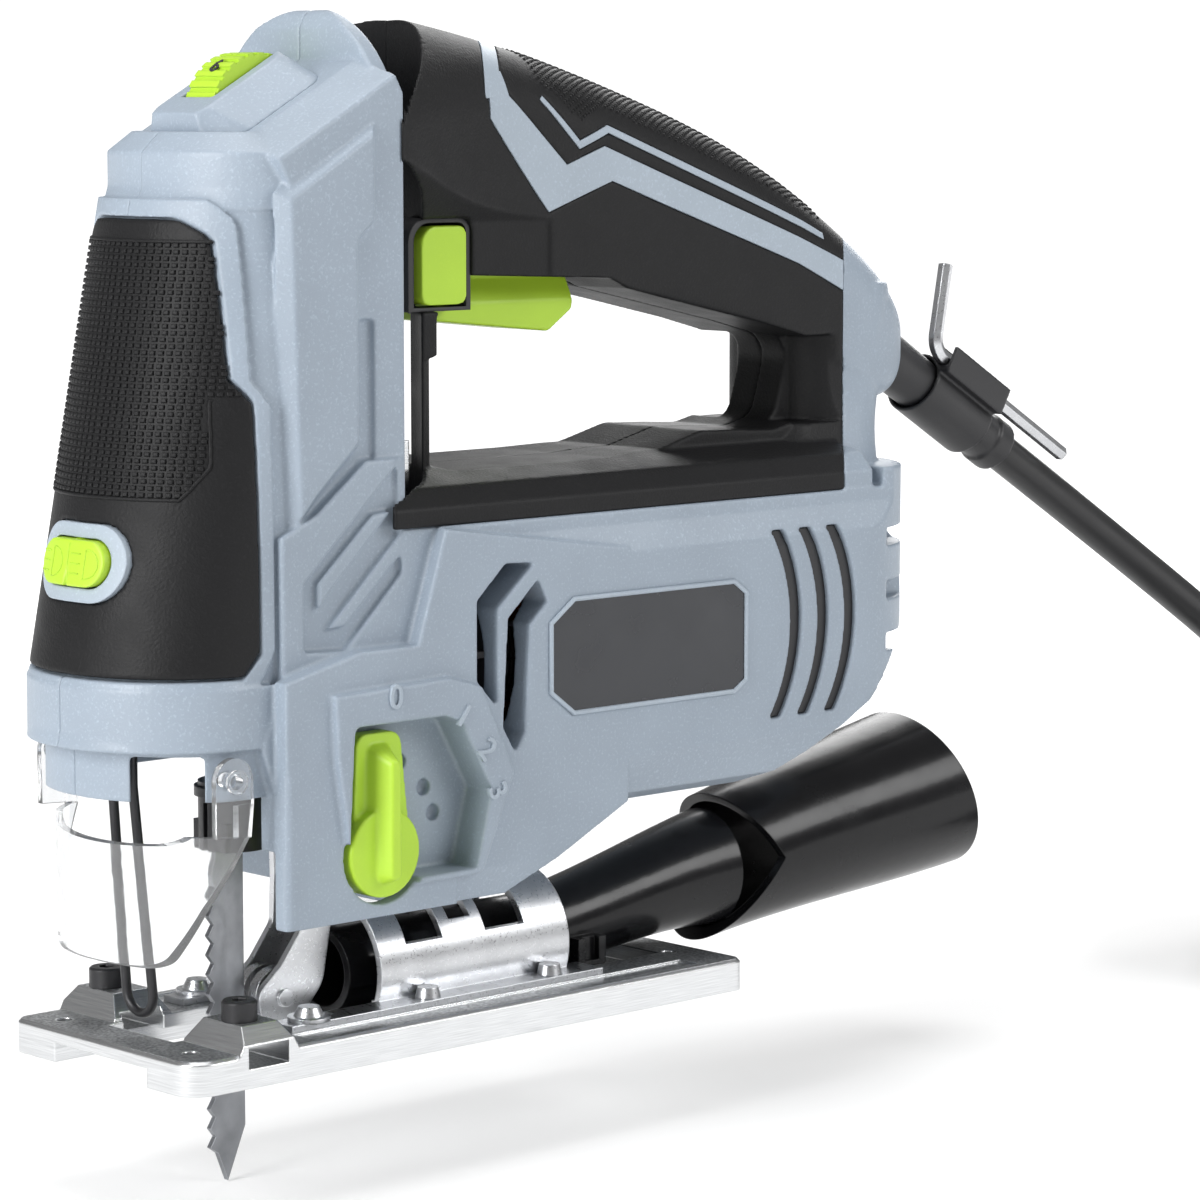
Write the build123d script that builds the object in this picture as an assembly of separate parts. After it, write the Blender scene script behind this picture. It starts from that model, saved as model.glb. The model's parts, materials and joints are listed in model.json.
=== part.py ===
from build123d import *
import math
import os

# A corded barrel-motor jigsaw with a D handle.
# Frame, in millimetres: +Z is up, -X is the cutting direction (front), -Y is the tool's left side.
# The origin is the centre of the sole's lower face.

# ---------------------------------------------------------------- driving dimensions
SOLE_LENGTH = 152.0
SOLE_WIDTH = 60.0
SOLE_THICK = 6.9
SOLE_CORNER = 6.0
SOLE_SKIN = 3.4                  # thickness of the sole's thin middle
SOLE_RIM = 4.0                   # width of the thick rim along each side

TILT_AXIS_Z = 13.5               # the sole tilts about this line along X
BRACKET_R = 16.0                 # outer radius of the half-round bracket
BRACKET_WALL = 1.6
BRACKET_FROM, BRACKET_TO = -16.0, 36.5
RUNNING_GAP = 0.3                # air between pieces that pass each other
SHAFT_GAP = 0.05                 # radial clearance of a shaft in its hole

HEAD_LOW_HALF = 28.6             # half width of the gear head at the foot of the front grip
HEAD_TOP_HALF = 27.8
NOSE_DEPTH = 24.0                # the nose is half an ellipse this deep in plan
HEAD_LOW_Z, HEAD_TOP_Z = 80.0, 172.0
NOSE_LOW_X, NOSE_TOP_X = -84.4, -66.4
HEAD_VALLEY = 1.5                # how far the side lies below the rim around the front grip
GRIP_DEPTH = 2.4
ARCH_Z, ARCH_RISE = 182.0, 29.7  # the hood over the head is half an ellipse
PARTING_R = 30.0                 # the head ends in a cylinder, where the handle begins
RAMP_SLOPE = 29.0                # degrees, slope of the speed dial's ramp
RAMP_X, RAMP_Z = -48.5, 187.0    # lower end of the ramp

BODY_HALF = 33.0
BODY_BASE_HALF = 31.0
BODY_TOP_Z = 107.8
MOTOR_Z = 77.0
REAR_X = 137.0
WALL = 3.0

HANDLE_HALF = 17.0
HANDLE_WALL = 3.2

BLADE_X = -40.0                  # the plunger's axis, and the back edge of the blade
BLADE_WIDTH = 8.0
BLADE_THICK = 1.3
BLADE_TIP_Z = -27.0
STROKE = 18.0

MODULE = 0.8
PINION_TEETH = 8
GEAR_TEETH = 54
GEAR_RATIO = PINION_TEETH / GEAR_TEETH
PINION_R = MODULE * PINION_TEETH / 2
GEAR_R = MODULE * GEAR_TEETH / 2
GEAR_Z = MOTOR_Z + PINION_R + GEAR_R
SHAFT_R = 4.0

CORD_D = 9.0
BOOT_START = (146.0, 0.0, 136.2)
BOOT_SLOPE = -30.5               # degrees, the way the cord leaves the handle
BOOT_LENGTH = 50.0
FLOOR_Z = BLADE_TIP_Z            # the surface under the blade's tip, where the cord lies


# ---------------------------------------------------------------- small helpers
def outline(points):
    """A closed sketch through (u, v) or (u, v, corner radius) points."""
    sketch = Polygon(*[(p[0], p[1]) for p in points], align=None)
    for p in points:
        if len(p) == 3:
            corner = sketch.vertices().sort_by_distance((p[0], p[1], 0))[0]
            sketch = fillet(corner, p[2])
    return sketch


def side_prism(sketch, y_low, y_high):
    """A sketch in (x, z), pushed from y_high down to y_low."""
    return extrude(Plane.XZ.offset(-y_high) * sketch, amount=y_high - y_low, dir=(0, -1, 0))


def plan_prism(sketch, z_low, z_high):
    """A sketch in (x, y), pushed from z_low up to z_high."""
    return extrude(Plane.XY.offset(z_low) * sketch, amount=z_high - z_low, dir=(0, 0, 1))


def cross_prism(sketch, x_low, x_high):
    """A sketch in (y, z), pushed from x_low to x_high."""
    return extrude(Plane.YZ.offset(x_low) * sketch, amount=x_high - x_low, dir=(1, 0, 0))


def block(x_low, x_high, y_low, y_high, z_low, z_high):
    centre = ((x_low + x_high) / 2, (y_low + y_high) / 2, (z_low + z_high) / 2)
    return Pos(*centre) * Box(x_high - x_low, y_high - y_low, z_high - z_low)


def rod_x(radius, x_low, x_high, y, z):
    return Pos((x_low + x_high) / 2, y, z) * Rot(0, 90, 0) * Cylinder(radius, x_high - x_low)


def rod_y(radius, y_low, y_high, x, z):
    return Pos(x, (y_low + y_high) / 2, z) * Rot(90, 0, 0) * Cylinder(radius, y_high - y_low)


def rod_z(radius, z_low, z_high, x, y):
    return Pos(x, y, (z_low + z_high) / 2) * Cylinder(radius, z_high - z_low)


def mirrored(shape):
    return mirror(shape, about=Plane.XZ)


def left_half(shape):
    return shape & block(-300, 400, -200, 0, -200, 400)


def group(solids):
    return Compound(children=[s for shape in solids for s in shape.solids()])


NODES = {}


def node(name, shape):
    solids = shape.solids()
    NODES[name] = solids[0] if len(solids) == 1 else Compound(children=list(solids))
    return NODES[name]


# ---------------------------------------------------------------- the gear head's outer form
def nose_section(z, front, half, depth, rear=0.0):
    """Plan of the head at one height: square at the rear, half an ellipse in front."""
    start = front + depth
    nose = EllipticalCenterArc((start, 0), depth, half, start_angle=90, arc_size=180)
    sides = Polyline((start, -half), (rear, -half), (rear, half), (start, half))
    return Plane.XY.offset(z) * make_face(Wire([nose, *sides.edges()]))


def nose_x(z):
    return NOSE_LOW_X + (NOSE_TOP_X - NOSE_LOW_X) * (z - HEAD_LOW_Z) / (HEAD_TOP_Z - HEAD_LOW_Z)


def head_half(z):
    return HEAD_LOW_HALF + (HEAD_TOP_HALF - HEAD_LOW_HALF) * (z - HEAD_LOW_Z) / (HEAD_TOP_Z - HEAD_LOW_Z)


def head_form(inset, z_low=HEAD_LOW_Z, z_high=HEAD_TOP_Z):
    """The leaning nose, shrunk inwards all round by inset."""
    depth = NOSE_DEPTH - inset
    sections = [nose_section(z, nose_x(z) + inset, head_half(z) - inset, depth) for z in (z_low, z_high)]
    return loft(sections)


def ramp_plane(x, y, lift):
    """A plane square to the ramp, with local x across the tool and local y away from the ramp."""
    angle = math.radians(RAMP_SLOPE)
    along = (math.cos(angle), 0, math.sin(angle))
    origin = (x - lift * math.sin(angle), y, RAMP_Z + (x - RAMP_X) * math.tan(angle) + lift * math.cos(angle))
    return Plane(origin=origin, x_dir=(0, 1, 0), z_dir=along)


def arch_sketch(half, rise, bottom):
    """Across the hood: straight sides under half an ellipse."""
    arch = Pos(0, ARCH_Z) * Ellipse(half, rise)
    sides = Pos(0, (ARCH_Z + bottom) / 2) * Rectangle(2 * half, ARCH_Z - bottom)
    upper = arch & Pos(0, ARCH_Z + 50) * Rectangle(200, 100)
    return sides + upper


def parting_cylinder(extra=0.0):
    """Everything in front of the head's round rear boundary."""
    barrel = Pos(-PARTING_R, 0, 150) * Cylinder(PARTING_R + extra, 300)
    return barrel + block(-200, -PARTING_R, -100, 100, 0, 300)


def top_form():
    """The band above the front grip, the dial's ramp with its bevelled edges, and the hood behind it."""
    band_front, band_half, chamfer_z = -63.0, 27.0, 183.0
    band = loft([nose_section(HEAD_TOP_Z, NOSE_TOP_X + 1.4, 27.4, 23), nose_section(176, band_front, band_half, 20)])
    band += extrude(nose_section(176, band_front, band_half, 20), amount=chamfer_z - 176, dir=(0, 0, 1))
    band += loft([nose_section(chamfer_z, band_front, band_half, 20), nose_section(RAMP_Z, -58.6, 19, 12)])
    band &= block(-100, -40, -50, 50, 150, 250)
    length = 34.0
    across = [(-28, -70), (-28, -3.4), (-17.5, 0), (17.5, 0), (28, -3.4), (28, -70)]
    ramp_start = ramp_plane(RAMP_X - 4, 0, 0)
    ramp = extrude(ramp_start * Polygon(*across, align=None), amount=length, dir=ramp_start.z_dir)
    hood = cross_prism(arch_sketch(28, ARCH_RISE, 150), -23, 4)
    crest = outline([(-90, 100), (-90, 150), (-23, 207.5), (-21, 211.2, 3), (-8, 211.4, 8), (6, 208.4), (6, 100)])
    hood &= side_prism(crest, -60, 60)
    return (band + ramp + hood) & block(-100, 10, -28, 28, 150, 260) & block(-100, 10, -60, 60, 150, 215)


def side_panel():
    """The raised panel on the side of the head, with sloping edges."""
    face = outline([(-47, 112), (-49, 174), (-28, 186.5), (-28, 170), (-32.5, 166), (-32.5, 126), (-43.5, 116)])
    foot = offset(face, amount=2.4, kind=Kind.INTERSECTION)
    return loft([Plane.XZ.offset(29.6) * face, Plane.XZ.offset(26.4) * foot])


def chevron_ribs():
    """The sunk field low on the side of the head, and the two slanted ribs in it."""
    field = outline([(-22, 121), (-46.5, 98.5), (-46.5, 85), (-36, 84.5), (-21, 99)])
    rib_one = outline([(-24, 111.5), (-28.5, 111.2), (-42.8, 98.4), (-42.8, 93), (-40.6, 95.8)])
    rib_two = outline([(-21.5, 106.8), (-40.2, 89.2), (-36, 89.4), (-21.5, 102.6)])
    return field, rib_one, rib_two


# ---------------------------------------------------------------- the motor body's outer form
def body_form(inset=0.0):
    """The faceted motor barrel with its rounded rear, and the chin below the head."""
    half = BODY_HALF - inset
    base_half = BODY_BASE_HALF - inset
    barrel = outline([
        (-base_half, 112), (-base_half, 105), (-half, 99), (-half, 56), (-30 + inset, 47.4 + inset),
        (-24, 44.8 + inset), (24, 44.8 + inset), (30 - inset, 47.4 + inset), (half, 56), (half, 99),
        (base_half, 105), (base_half, 112)])
    form = cross_prism(barrel, -12, REAR_X - inset)
    rear = outline([(-40, -half), (REAR_X - inset, -half, 26), (REAR_X - inset, half, 26), (-40, half)])
    form &= plan_prism(rear, 0, 300)
    lower = outline([
        (-40, 44 + inset), (78, 44.6 + inset), (94, 51 + inset), (112, 60.6 + inset), (124, 73 + inset),
        (REAR_X, 84), (REAR_X, 112), (-40, 112)])
    return form & side_prism(lower, -60, 60)


def chin_form():
    """The wedge-shaped chin over the sole's bracket: a wing on the left side, open on the right."""
    half = BODY_HALF
    rear = outline([
        (CHIN_FRONT, 30.6), (5, 30.6), (38, 46.3), (38, 100), (-12.6, 107.5), (CHIN_FRONT, 84.5)])
    form = side_prism(rear, -half, half)
    wing = outline([(-54.2, 62), (-54.2, 46), (-59.5, 30.6), (-19, 30.6), (-19, 84.5), (-35, 84.5), (-54.2, 80)])
    form += side_prism(wing, -half, -half + 4.0)
    across = outline([
        (-half - 4, 20), (-half + 6, 20), (-half, 37), (-half, 110), (half, 110), (half, 37), (half - 6, 20),
        (half + 4, 20), (half + 4, 120), (-half - 4, 120)])
    corners = across - Polygon((-half + 6, 20), (-half, 37), (-half, 110), (half, 110), (half, 37), (half - 6, 20), align=None)
    form -= cross_prism(corners, -10, 40)
    front_cut = plan_prism(outline([(-61, -34), (-52, -34), (-61, -27.5)]), 28, 62)
    return form - front_cut


CHIN_FRONT = -20.0


SKIRT_X = -81.4                  # front of the skirt below the nose


def housing_outer():
    rim_outline = outline([
        (-90, 78), (-58, 78), (-53, 86, 2), (-53, 134, 2), (-57, 139, 2), (-57, 170, 4), (-61, 175), (-90, 175)])
    rim = head_form(0, 67, 174) & side_prism(rim_outline, -60, 60)
    lip_plan = nose_section(67, NOSE_LOW_X - 0.4, HEAD_LOW_HALF + 0.4, NOSE_DEPTH)
    lip = extrude(lip_plan, amount=12.4, dir=(0, 0, 1)) & side_prism(
        outline([(-90, 67), (-54, 67, 3), (-54, 81), (-90, 81)]), -60, 60)
    skirt = extrude(nose_section(57, SKIRT_X, 27, 22, -54), amount=12, dir=(0, 0, 1))
    skirt -= extrude(nose_section(56, SKIRT_X + 2.4, 24.6, 19.6, -54), amount=10, dir=(0, 0, 1))
    skirt -= block(-90, -70, -22.5, -19.5, 56, 64.5) + block(-90, -70, 19.5, 22.5, 56, 64.5)
    core = head_form(HEAD_VALLEY, 67, HEAD_TOP_Z) & side_prism(
        outline([(-90, 67), (-58, 67), (-54, 60), (0, 60), (0, 180), (-90, 180)]), -60, 60)
    rear_strip = side_prism(outline([(-27, 118), (-27, 190), (0, 190), (0, 100), (-27, 100)]), -28, 28)
    panel = side_panel()
    lower_side = side_prism(outline([
        (-57, 66), (-54.2, 58), (-54.2, 46), (-20, 46), (0, 84), (0, 107.8), (-20, 122), (-30, 122), (-43, 112),
        (-52, 108), (-52, 80)]), -29.3, 29.3)
    front = rim + lip + skirt + core + rear_strip + panel + mirrored(panel) + lower_side + top_form()
    front &= parting_cylinder() + block(-100, 0, -60, 60, 0, BODY_TOP_Z)
    return front + body_form() + chin_form()


def front_channel():
    """The open channel behind the nose where the plunger, the blade and the guide fork work."""
    channel = side_prism(outline([(-78, 20), (-78, 66), (-30, 66), (-20, 56), (-20, 20)]), -24.5, 24.5)
    window = side_prism(outline([(-90, 20), (-90, 57), (-54.5, 57), (-54.5, 20)]), -60, 60)
    far_side = side_prism(outline([(-60, 20), (-60, 57), (-20, 57), (-20, 20)]), 20, 60)
    return channel + window + far_side


def housing_cavity():
    """Rooms for the motor, the bearings, the gear, the plunger, the dial, the fork and the selector's cam."""
    motor_bay = rod_x(MOTOR_BAY_R, -5, BULKHEAD_X[0], 0, MOTOR_Z)
    bearing_seat = rod_x(BEARING_R, BULKHEAD_X[0], BULKHEAD_X[1], 0, MOTOR_Z)
    tail_room = rod_x(24, BULKHEAD_X[1], 120, 0, MOTOR_Z)
    air_holes = [rod_x(5, BULKHEAD_X[0], BULKHEAD_X[1], y, MOTOR_Z + dz) for y in (-12, 12) for dz in (-12, 12)]
    gear_room = block(-50, -24.5, -24, 24, 78, 142) + rod_x(22, -25, -14, 0, GEAR_Z) + gear_plate_room(0)
    pinion_room = rod_x(5, -25, -5, 0, MOTOR_Z)
    top_room = block(-50, -25, -20, 20, 152, 176)
    nose_room = head_form(5.5, 84, 168) & block(-80, -44, -60, 60, 84, 168)
    plunger_bore = rod_z(BUSH_R, 60, 156, BLADE_X, 0)
    dial_room = rod_y(DIAL_R + 0.8, -6, 6, DIAL_X, DIAL_Z) + rod_y(2.55, -8, 8, DIAL_X, DIAL_Z)
    fork_room = block(-36, -14, -8, 8, 20, 62)
    selector_bore = rod_y(4.06, -27, -20, LEVER_X, LEVER_Z)
    return (motor_bay + bearing_seat + tail_room + group(air_holes) + gear_room + pinion_room + top_room
            + nose_room + plunger_bore + dial_room + fork_room + selector_bore)


MOTOR_BAY_R = 28.4
BULKHEAD_X = (90.0, 97.0)        # the wall that holds the rear bearing
BEARING_R = 9.5
BUSH_R = 7.0
FORK_X, FORK_Z = -25.0, 47.0     # pivot of the blade's guide fork


# ---------------------------------------------------------------- vents, recesses, fins
LEVER_X, LEVER_Z = -29.5, 43.5


def front_vents():
    """Two crooked air slots on each side, over the fan."""
    first = outline([(-4.3, 92.2), (3.4, 99.2), (11.6, 99), (1.4, 90.1), (1.1, 69.8), (-4.4, 75.7)])
    second = outline([(4.1, 87.9), (12.4, 95.4), (15.2, 90.6), (10.2, 86.1), (8.7, 64), (6, 60), (2.7, 65.5)])
    return side_prism(first, -40, -20) + side_prism(second, -40, -20)


def rear_vents():
    """Three upright slots on each side, bowed like the barrel's rounded rear."""
    slots = []
    for x in (81.5, 90.0, 98.5):
        start, end = (x - 1.5, 59.5), (x - 1, 100.5)
        bow = ThreePointArc(start, (x + 5.0, 82), end)
        back = ThreePointArc((end[0] + 4.2, end[1]), (x + 8.6, 82), (start[0] + 3.6, start[1]))
        edges = [bow, Line(end, (end[0] + 4.2, end[1])), back, Line((start[0] + 3.6, start[1]), start)]
        slots.append(side_prism(make_face(Wire(edges)), -40, -22))
    return group(slots)


def selector_boss():
    """The raised six-sided plate round the stroke selector."""
    side = outline([(-43, 76.5), (-13, 77.5, 2), (-4.5, 75, 2), (4.3, 56.5, 2), (-4.5, 36.5, 2), (-38, 36.5, 2), (-42.5, 64)])
    return side_prism(side, -34.8, -28)


def selector_pocket():
    pocket = outline([(-38, 69.8, 1.5), (-14, 69.8, 2), (-10, 68, 1), (-2, 53.5, 2), (-6, 37.7, 1), (-40, 37.7, 6)])
    return side_prism(pocket, -40, -26.5)


def detents():
    """Three dimples in the pocket's floor, which hold the stroke selector at 1, 2 and 3."""
    cups = []
    for degrees in (60, 34, 16):
        angle = math.radians(degrees)
        cups.append(rod_y(1.7, -27, -24.6, LEVER_X + 19.3 * math.cos(angle), LEVER_Z + 19.3 * math.sin(angle)))
    return group(cups)


def rear_fins():
    """Gaps between the cooling fins on the rounded rear, and the finger notches above them."""
    gaps = [block(118, 150, -60, 60, z, z + 4.0) for z in (71, 82.7, 94.5)]
    return group(gaps) & (block(118, 150, -60, 60, 0, 200) - rod_x(26, 100, 133.5, 0, MOTOR_Z))


def badge_outline(shrink=0.0):
    s = shrink
    return outline([(15.6 + s, 85.9), (22 + s, 90.6 - s), (69 - s, 90.6 - s), (72.6 - s, 88 - s), (72.6 - s, 69),
                    (69 - s, 66.6 + s), (22 + s, 66.6 + s), (15.6 + s, 71.5)])


# ---------------------------------------------------------------- handle
def rounded_section(x, z_low, z_high, half, corner):
    """Across the top grip: a round back over a squarer underside."""
    sketch = outline([(-half, z_low, 5), (half, z_low, 5), (half, z_high, corner), (-half, z_high, corner)])
    return Plane.YZ.offset(x) * sketch


def handle_loop():
    """The whole D: top grip, rear column, lower ledge and the wedge behind the head."""
    stations = [
        (-30, 140, 211.6, 27.9, 24), (-8, 140, 210.9, 25, 22), (14, 145, 207.0, 19.5, 17), (40, 150, 201.0, 17.5, 16),
        (66, 148, 193.2, 17, 16), (92, 142, 183.6, 17, 16), (118, 132, 169.8, 16.5, 15), (134, 126, 159.0, 15, 13),
        (145, 130, 149.0, 10.5, 9)]
    top = loft([rounded_section(*s) for s in stations])
    column_stations = [(152, 100, 142.5, 15, 12), (135, 100, 141, 15.5, 12), (122, 98, 137.0, 17, 12),
                       (112, 90, 134.0, 21, 13), (98, 80, 131.0, 26, 14)]
    sections = [Plane.XY.offset(z) * Pos((x0 + x1) / 2, 0) * RectangleRounded(x1 - x0, 2 * half, corner)
                for z, x0, x1, half, corner in column_stations]
    column = loft(sections)
    wedge = plan_prism(outline([(-24, -28), (-1.0, -15, 3), (-1.0, 15, 3), (-24, 28), (-40, 0)]), 104, 165)
    ledge_across = outline([(-30.6, 104), (-30.6, 111.5), (-27, 115.5, 2), (-15, 118.2, 3), (15, 118.2, 3),
                            (27, 115.5, 2), (30.6, 111.5), (30.6, 104)])
    ledge = cross_prism(ledge_across, -24, 115)
    ledge_plan = outline([(-30, -30.6), (115, -30.6, 3), (125, -20), (125, 20), (115, 30.6, 3), (-30, 30.6)])
    ledge &= plan_prism(ledge_plan, 90, 130)
    hump = side_prism(outline([(40, 112), (62, 118, 8), (76, 121.6, 8), (92, 121, 8), (112, 124), (112, 108)]), -16, 16)
    return top + column + wedge + ledge + hump


def handle_opening():
    """The D-shaped finger hole."""
    hole = outline([
        (-1.2, 148.5, 4), (-1.2, 117.4, 4), (46, 117.6, 12), (64, 118.6, 6), (76, 121.8, 8), (98, 120.6, 6),
        (106.5, 122.5, 5), (109.5, 132, 10), (111.5, 140.0, 6), (94, 144.4, 8), (53, 153.2, 3), (47.5, 155.6, 2),
        (2, 157.5)])
    return side_prism(hole, -60, 60)


def rear_boundary():
    """Plan of the handle's black part: the round parting in front and a vee at the rear."""
    keep = outline([(-60, -40), (96, -40), (136, 0), (96, 40), (-60, 40)])
    return plan_prism(keep, BODY_TOP_Z, 230)


def stripe_prism():
    """The zigzag stripe along each side of the handle, drawn in side view."""
    band = outline([
        (11.2, 197), (11.2, 189.4), (29.1, 169.9), (48.0, 176.1), (105, 157.2), (140, 142), (140, 150),
        (105, 163), (45.7, 183.4), (34.5, 179.6), (17.5, 194.0), (17.0, 199)])
    low = side_prism(band, -60, 60)
    vee = outline([(24.5, 0), (10.0, -19.5), (10.0, -40), (15.4, -40), (15.4, -18), (28.7, 0), (15.4, 18), (15.4, 40),
                   (10.0, 40), (10.0, 19.5)])
    return low + plan_prism(vee, 193.5, 230)


def accent_prism():
    line = outline([
        (27.2, 193.2), (38.3, 182.9), (47.1, 186.2), (107, 164.9), (114, 162.2), (114.2, 163.6), (107.2, 166.5),
        (47.1, 187.8), (38.3, 184.6), (28.2, 193.9)])
    return side_prism(line, -60, -10)


def trigger_seat():
    return block(3.6, 44.8, -9.4, 9.4, 138, 166)


def lock_seat():
    """The recess for the lock-on button, in the handle's left side."""
    return side_prism(outline([(-8.4, 150.2), (-8.4, 169.2, 5), (8.4, 169.2, 3), (8.4, 150.2)]), -40, -9.6)


def lock_flat():
    """The handle's left and right sides are pinched in beside the lock button."""
    across = outline([(-17.3, 100), (-17.3, 168), (-29, 182), (-40, 182), (-40, 100)])
    plan = outline([(-20.5, -29), (-9, -17.3), (-9, -10), (16, -10), (30, -17.2), (30, -40), (-20.5, -40)])
    cut = cross_prism(across, -24, 30) & plan_prism(plan, 118.5, 190)
    return cut + mirrored(cut)


def column_corners():
    """Rounds the column's two inner edges, toward the finger hole."""
    start, end = (110.5, -7.5), (122.0, -17.5)
    middle = (114.2, -14.2)
    edges = [ThreePointArc(start, middle, end), Line(end, (122, -30)), Line((122, -30), (104, -30)),
             Line((104, -30), (104, -7.5)), Line((104, -7.5), start)]
    cut = plan_prism(make_face(Wire(edges)), 121.5, 141.0)
    return cut + mirrored(cut)


def handle_cavity():
    """Rooms for the switch and the wires."""
    switch_room = block(9, 51, -12, 12, 166, 186)
    wire_run = side_prism(outline([
        (51, 168), (51, 184), (92, 168), (120, 152), (131, 132), (131, 108), (117, 108), (117, 140), (104, 152)]),
        -8, 8)
    ledge_room = block(0, 100, -20, 20, 104, 111.5)
    return switch_room + wire_run + ledge_room


def make_housing():
    boot_hole = boot_rod(6.9, -8, 24)
    outer = housing_outer()
    loop = handle_loop() - handle_opening() - lock_flat()
    black_zone = rear_boundary() - parting_cylinder()
    column_cut = side_prism(outline([
        (128, 100), (125, 112), (129, 132), (124.5, 150), (127, 168), (150, 168), (150, 100)]), -60, 60)
    spine = loop & (block(90, 200, -60, 60, 90, 200) - black_zone) + (loop & column_cut)
    loop -= column_corners()
    black = (loop & black_zone) - column_cut - block(-100, 200, -60, 60, 0, BODY_TOP_Z)
    grey = outer - block(-19, 118, -60, 60, BODY_TOP_Z, 230)
    grey -= black_zone & block(-30, 123, -60, 60, BODY_TOP_Z, 230)
    grey = grey - black + spine
    return grey, black, boot_hole


def boot_rod(radius, start, end):
    """A round rod on the cord's axis, from start to end along it."""
    direction = (math.cos(math.radians(BOOT_SLOPE)), 0, math.sin(math.radians(BOOT_SLOPE)))
    plane = Plane(origin=BOOT_START, z_dir=direction)
    return extrude(plane.offset(start) * Circle(radius), amount=end - start)


# ---------------------------------------------------------------- housing nodes
# x, z, the tip's y and the head's y of every housing screw, all driven in from the right side
SCREWS = [(-20, 147, -12, 20), (-24, 70, -12, 20), (12, 38, -12, 20), (-13, 196, -12, 14), (93.5, 53.5, -12, 18),
          (93.5, 100.5, -12, 20), (60, 188, -9, 9), (108, 115, -12, 16)]
SCREW_R, SCREW_HEAD_R, SCREW_HEAD = 1.6, 3.2, 2.4


def screw_holes():
    holes = []
    for x, z, tip, head in SCREWS:
        holes += [rod_y(SCREW_R, tip, head, x, z), rod_y(SCREW_HEAD_R, head, 60, x, z)]
    return group(holes)


def make_housing_screws():
    screws = []
    for x, z, tip, head in SCREWS:
        screw = rod_y(SCREW_R, tip, head, x, z) + rod_y(SCREW_HEAD_R, head, head + SCREW_HEAD, x, z)
        cross = block(x - 2, x + 2, head + 1, head + 9, z - 0.4, z + 0.4)
        cross += block(x - 0.4, x + 0.4, head + 1, head + 9, z - 2, z + 2)
        screws.append(screw - cross)
    return group(screws)


def wire_sockets():
    return rod_z(WIRE_R, 60, 74, WIRE_TOP_X, -WIRE_TOP_Y) + rod_z(WIRE_R, 60, 74, WIRE_TOP_X, WIRE_TOP_Y)


def badge_recess():
    badge = side_prism(badge_outline(), -34, -BODY_HALF + BADGE_DEPTH)
    return badge + mirrored(badge)


BADGE_DEPTH = 0.9


def rib_fields():
    field, rib_one, rib_two = chevron_ribs()
    sunk = side_prism(field, -31.2, -27.6) - side_prism(rib_one, -40, -27) - side_prism(rib_two, -40, -27)
    return sunk + mirrored(sunk)


def build_housing():
    grey, black, boot_hole = make_housing()
    grey += selector_boss()
    for cut in (housing_cavity(), front_channel(), boot_hole, front_vents(), mirrored(front_vents()), rear_vents(),
                mirrored(rear_vents()), rear_fins(), selector_pocket(), rib_fields(), badge_recess(), grip_pocket(),
                dial_window(), light_pocket(), wire_sockets(), lamp_rod(0.0), screw_holes(), island_form(),
                handle_cavity(), rod_z(2.1, 25, 42, BEVEL_X, 0), rod_y(1.5, -35, 35, GUARD_X, GUARD_Z),
                rod_y(10.4, -40, -26.5, LEVER_X, LEVER_Z), detents()):
        grey -= cut
    for cut in (boot_hole, handle_cavity(), screw_holes(), trigger_seat(), lock_seat()):
        black -= cut
    stripe = (black & stripe_prism()) & shell_band()
    accent = (black & (accent_prism() + mirrored(accent_prism()))) & shell_band()
    black -= stripe + accent
    return grey, black, stripe, accent


def shell_band():
    """The outer skin of the handle, where the inlays lie."""
    side_skin = block(0, 140, -40, -13.2, 130, 215)
    top_skin = side_prism(outline([(0, 203), (14, 201.4), (40, 195), (40, 215), (0, 215)]), -40, 40)
    return side_skin + mirrored(side_skin) + top_skin


def grip_outline(grow):
    """The front grip in side view; grow widens it."""
    g = grow
    return outline([
        (-95, 81.5 - g), (-61, 81.5 - g), (-57 + g, 86 - g), (-57 + g, 134.5 + g), (-60.8 + g, 139 + g),
        (-60.8 + g, 166.5, 3), (-64, 170 + g), (-95, 170 + g)])


def grip_prism(grow):
    return side_prism(grip_outline(grow), -60, 60)


def grip_pocket():
    skin = head_form(-1, 78, 174) - head_form(GRIP_DEPTH, 78, 174)
    return skin & grip_prism(0.5)


def make_front_grip():
    skin = head_form(-0.1, 79, 173) - head_form(GRIP_DEPTH, 79, 173)
    return (skin & grip_prism(0.0)) - light_pocket()


LIGHT_Z = 103.3
LIGHT_Y = 0.0


def slot_rod(length, height, x_low, x_high, z):
    """A flat-sided pill across the nose, pushed along X."""
    face = Plane.YZ.offset(x_low) * Pos(LIGHT_Y, z) * SlotOverall(length, height)
    return extrude(face, amount=x_high - x_low, dir=(1, 0, 0))


def light_pocket():
    return slot_rod(27.0, 15.4, -90, -69, LIGHT_Z)


def light_axle(radius, half):
    return rod_z(radius, LIGHT_Z - half, LIGHT_Z + half, -78.0, 0)


def make_light_bezel():
    ring = slot_rod(26.8, 15.2, -90, -69.2, LIGHT_Z) - slot_rod(20.4, 9.8, -95, -60, LIGHT_Z)
    return (ring & head_form(-0.9, 78, 174)) - light_axle(1.2 + SHAFT_GAP, 6.5)


def make_light_switch():
    cap = slot_rod(19.6, 9.0, -90, -75, LIGHT_Z) & head_form(-2.4, 78, 174)
    return cap - block(-90, -82.2, -0.35, 0.35, 98, 109) + light_axle(1.2, 6.4)


def lamp_rod(shrink):
    return rod_z(2.6 - shrink, 62.5, 79, -75.2, 0)


def make_lamp():
    return lamp_rod(0.0) + Pos(-75.2, 0, 62.5) * Sphere(2.6)


# ---------------------------------------------------------------- speed dial
DIAL_X, DIAL_Z, DIAL_R, DIAL_HALF = -36.4, 190.2, 12.4, 4.6
ISLAND_HEIGHT = 6.6


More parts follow.
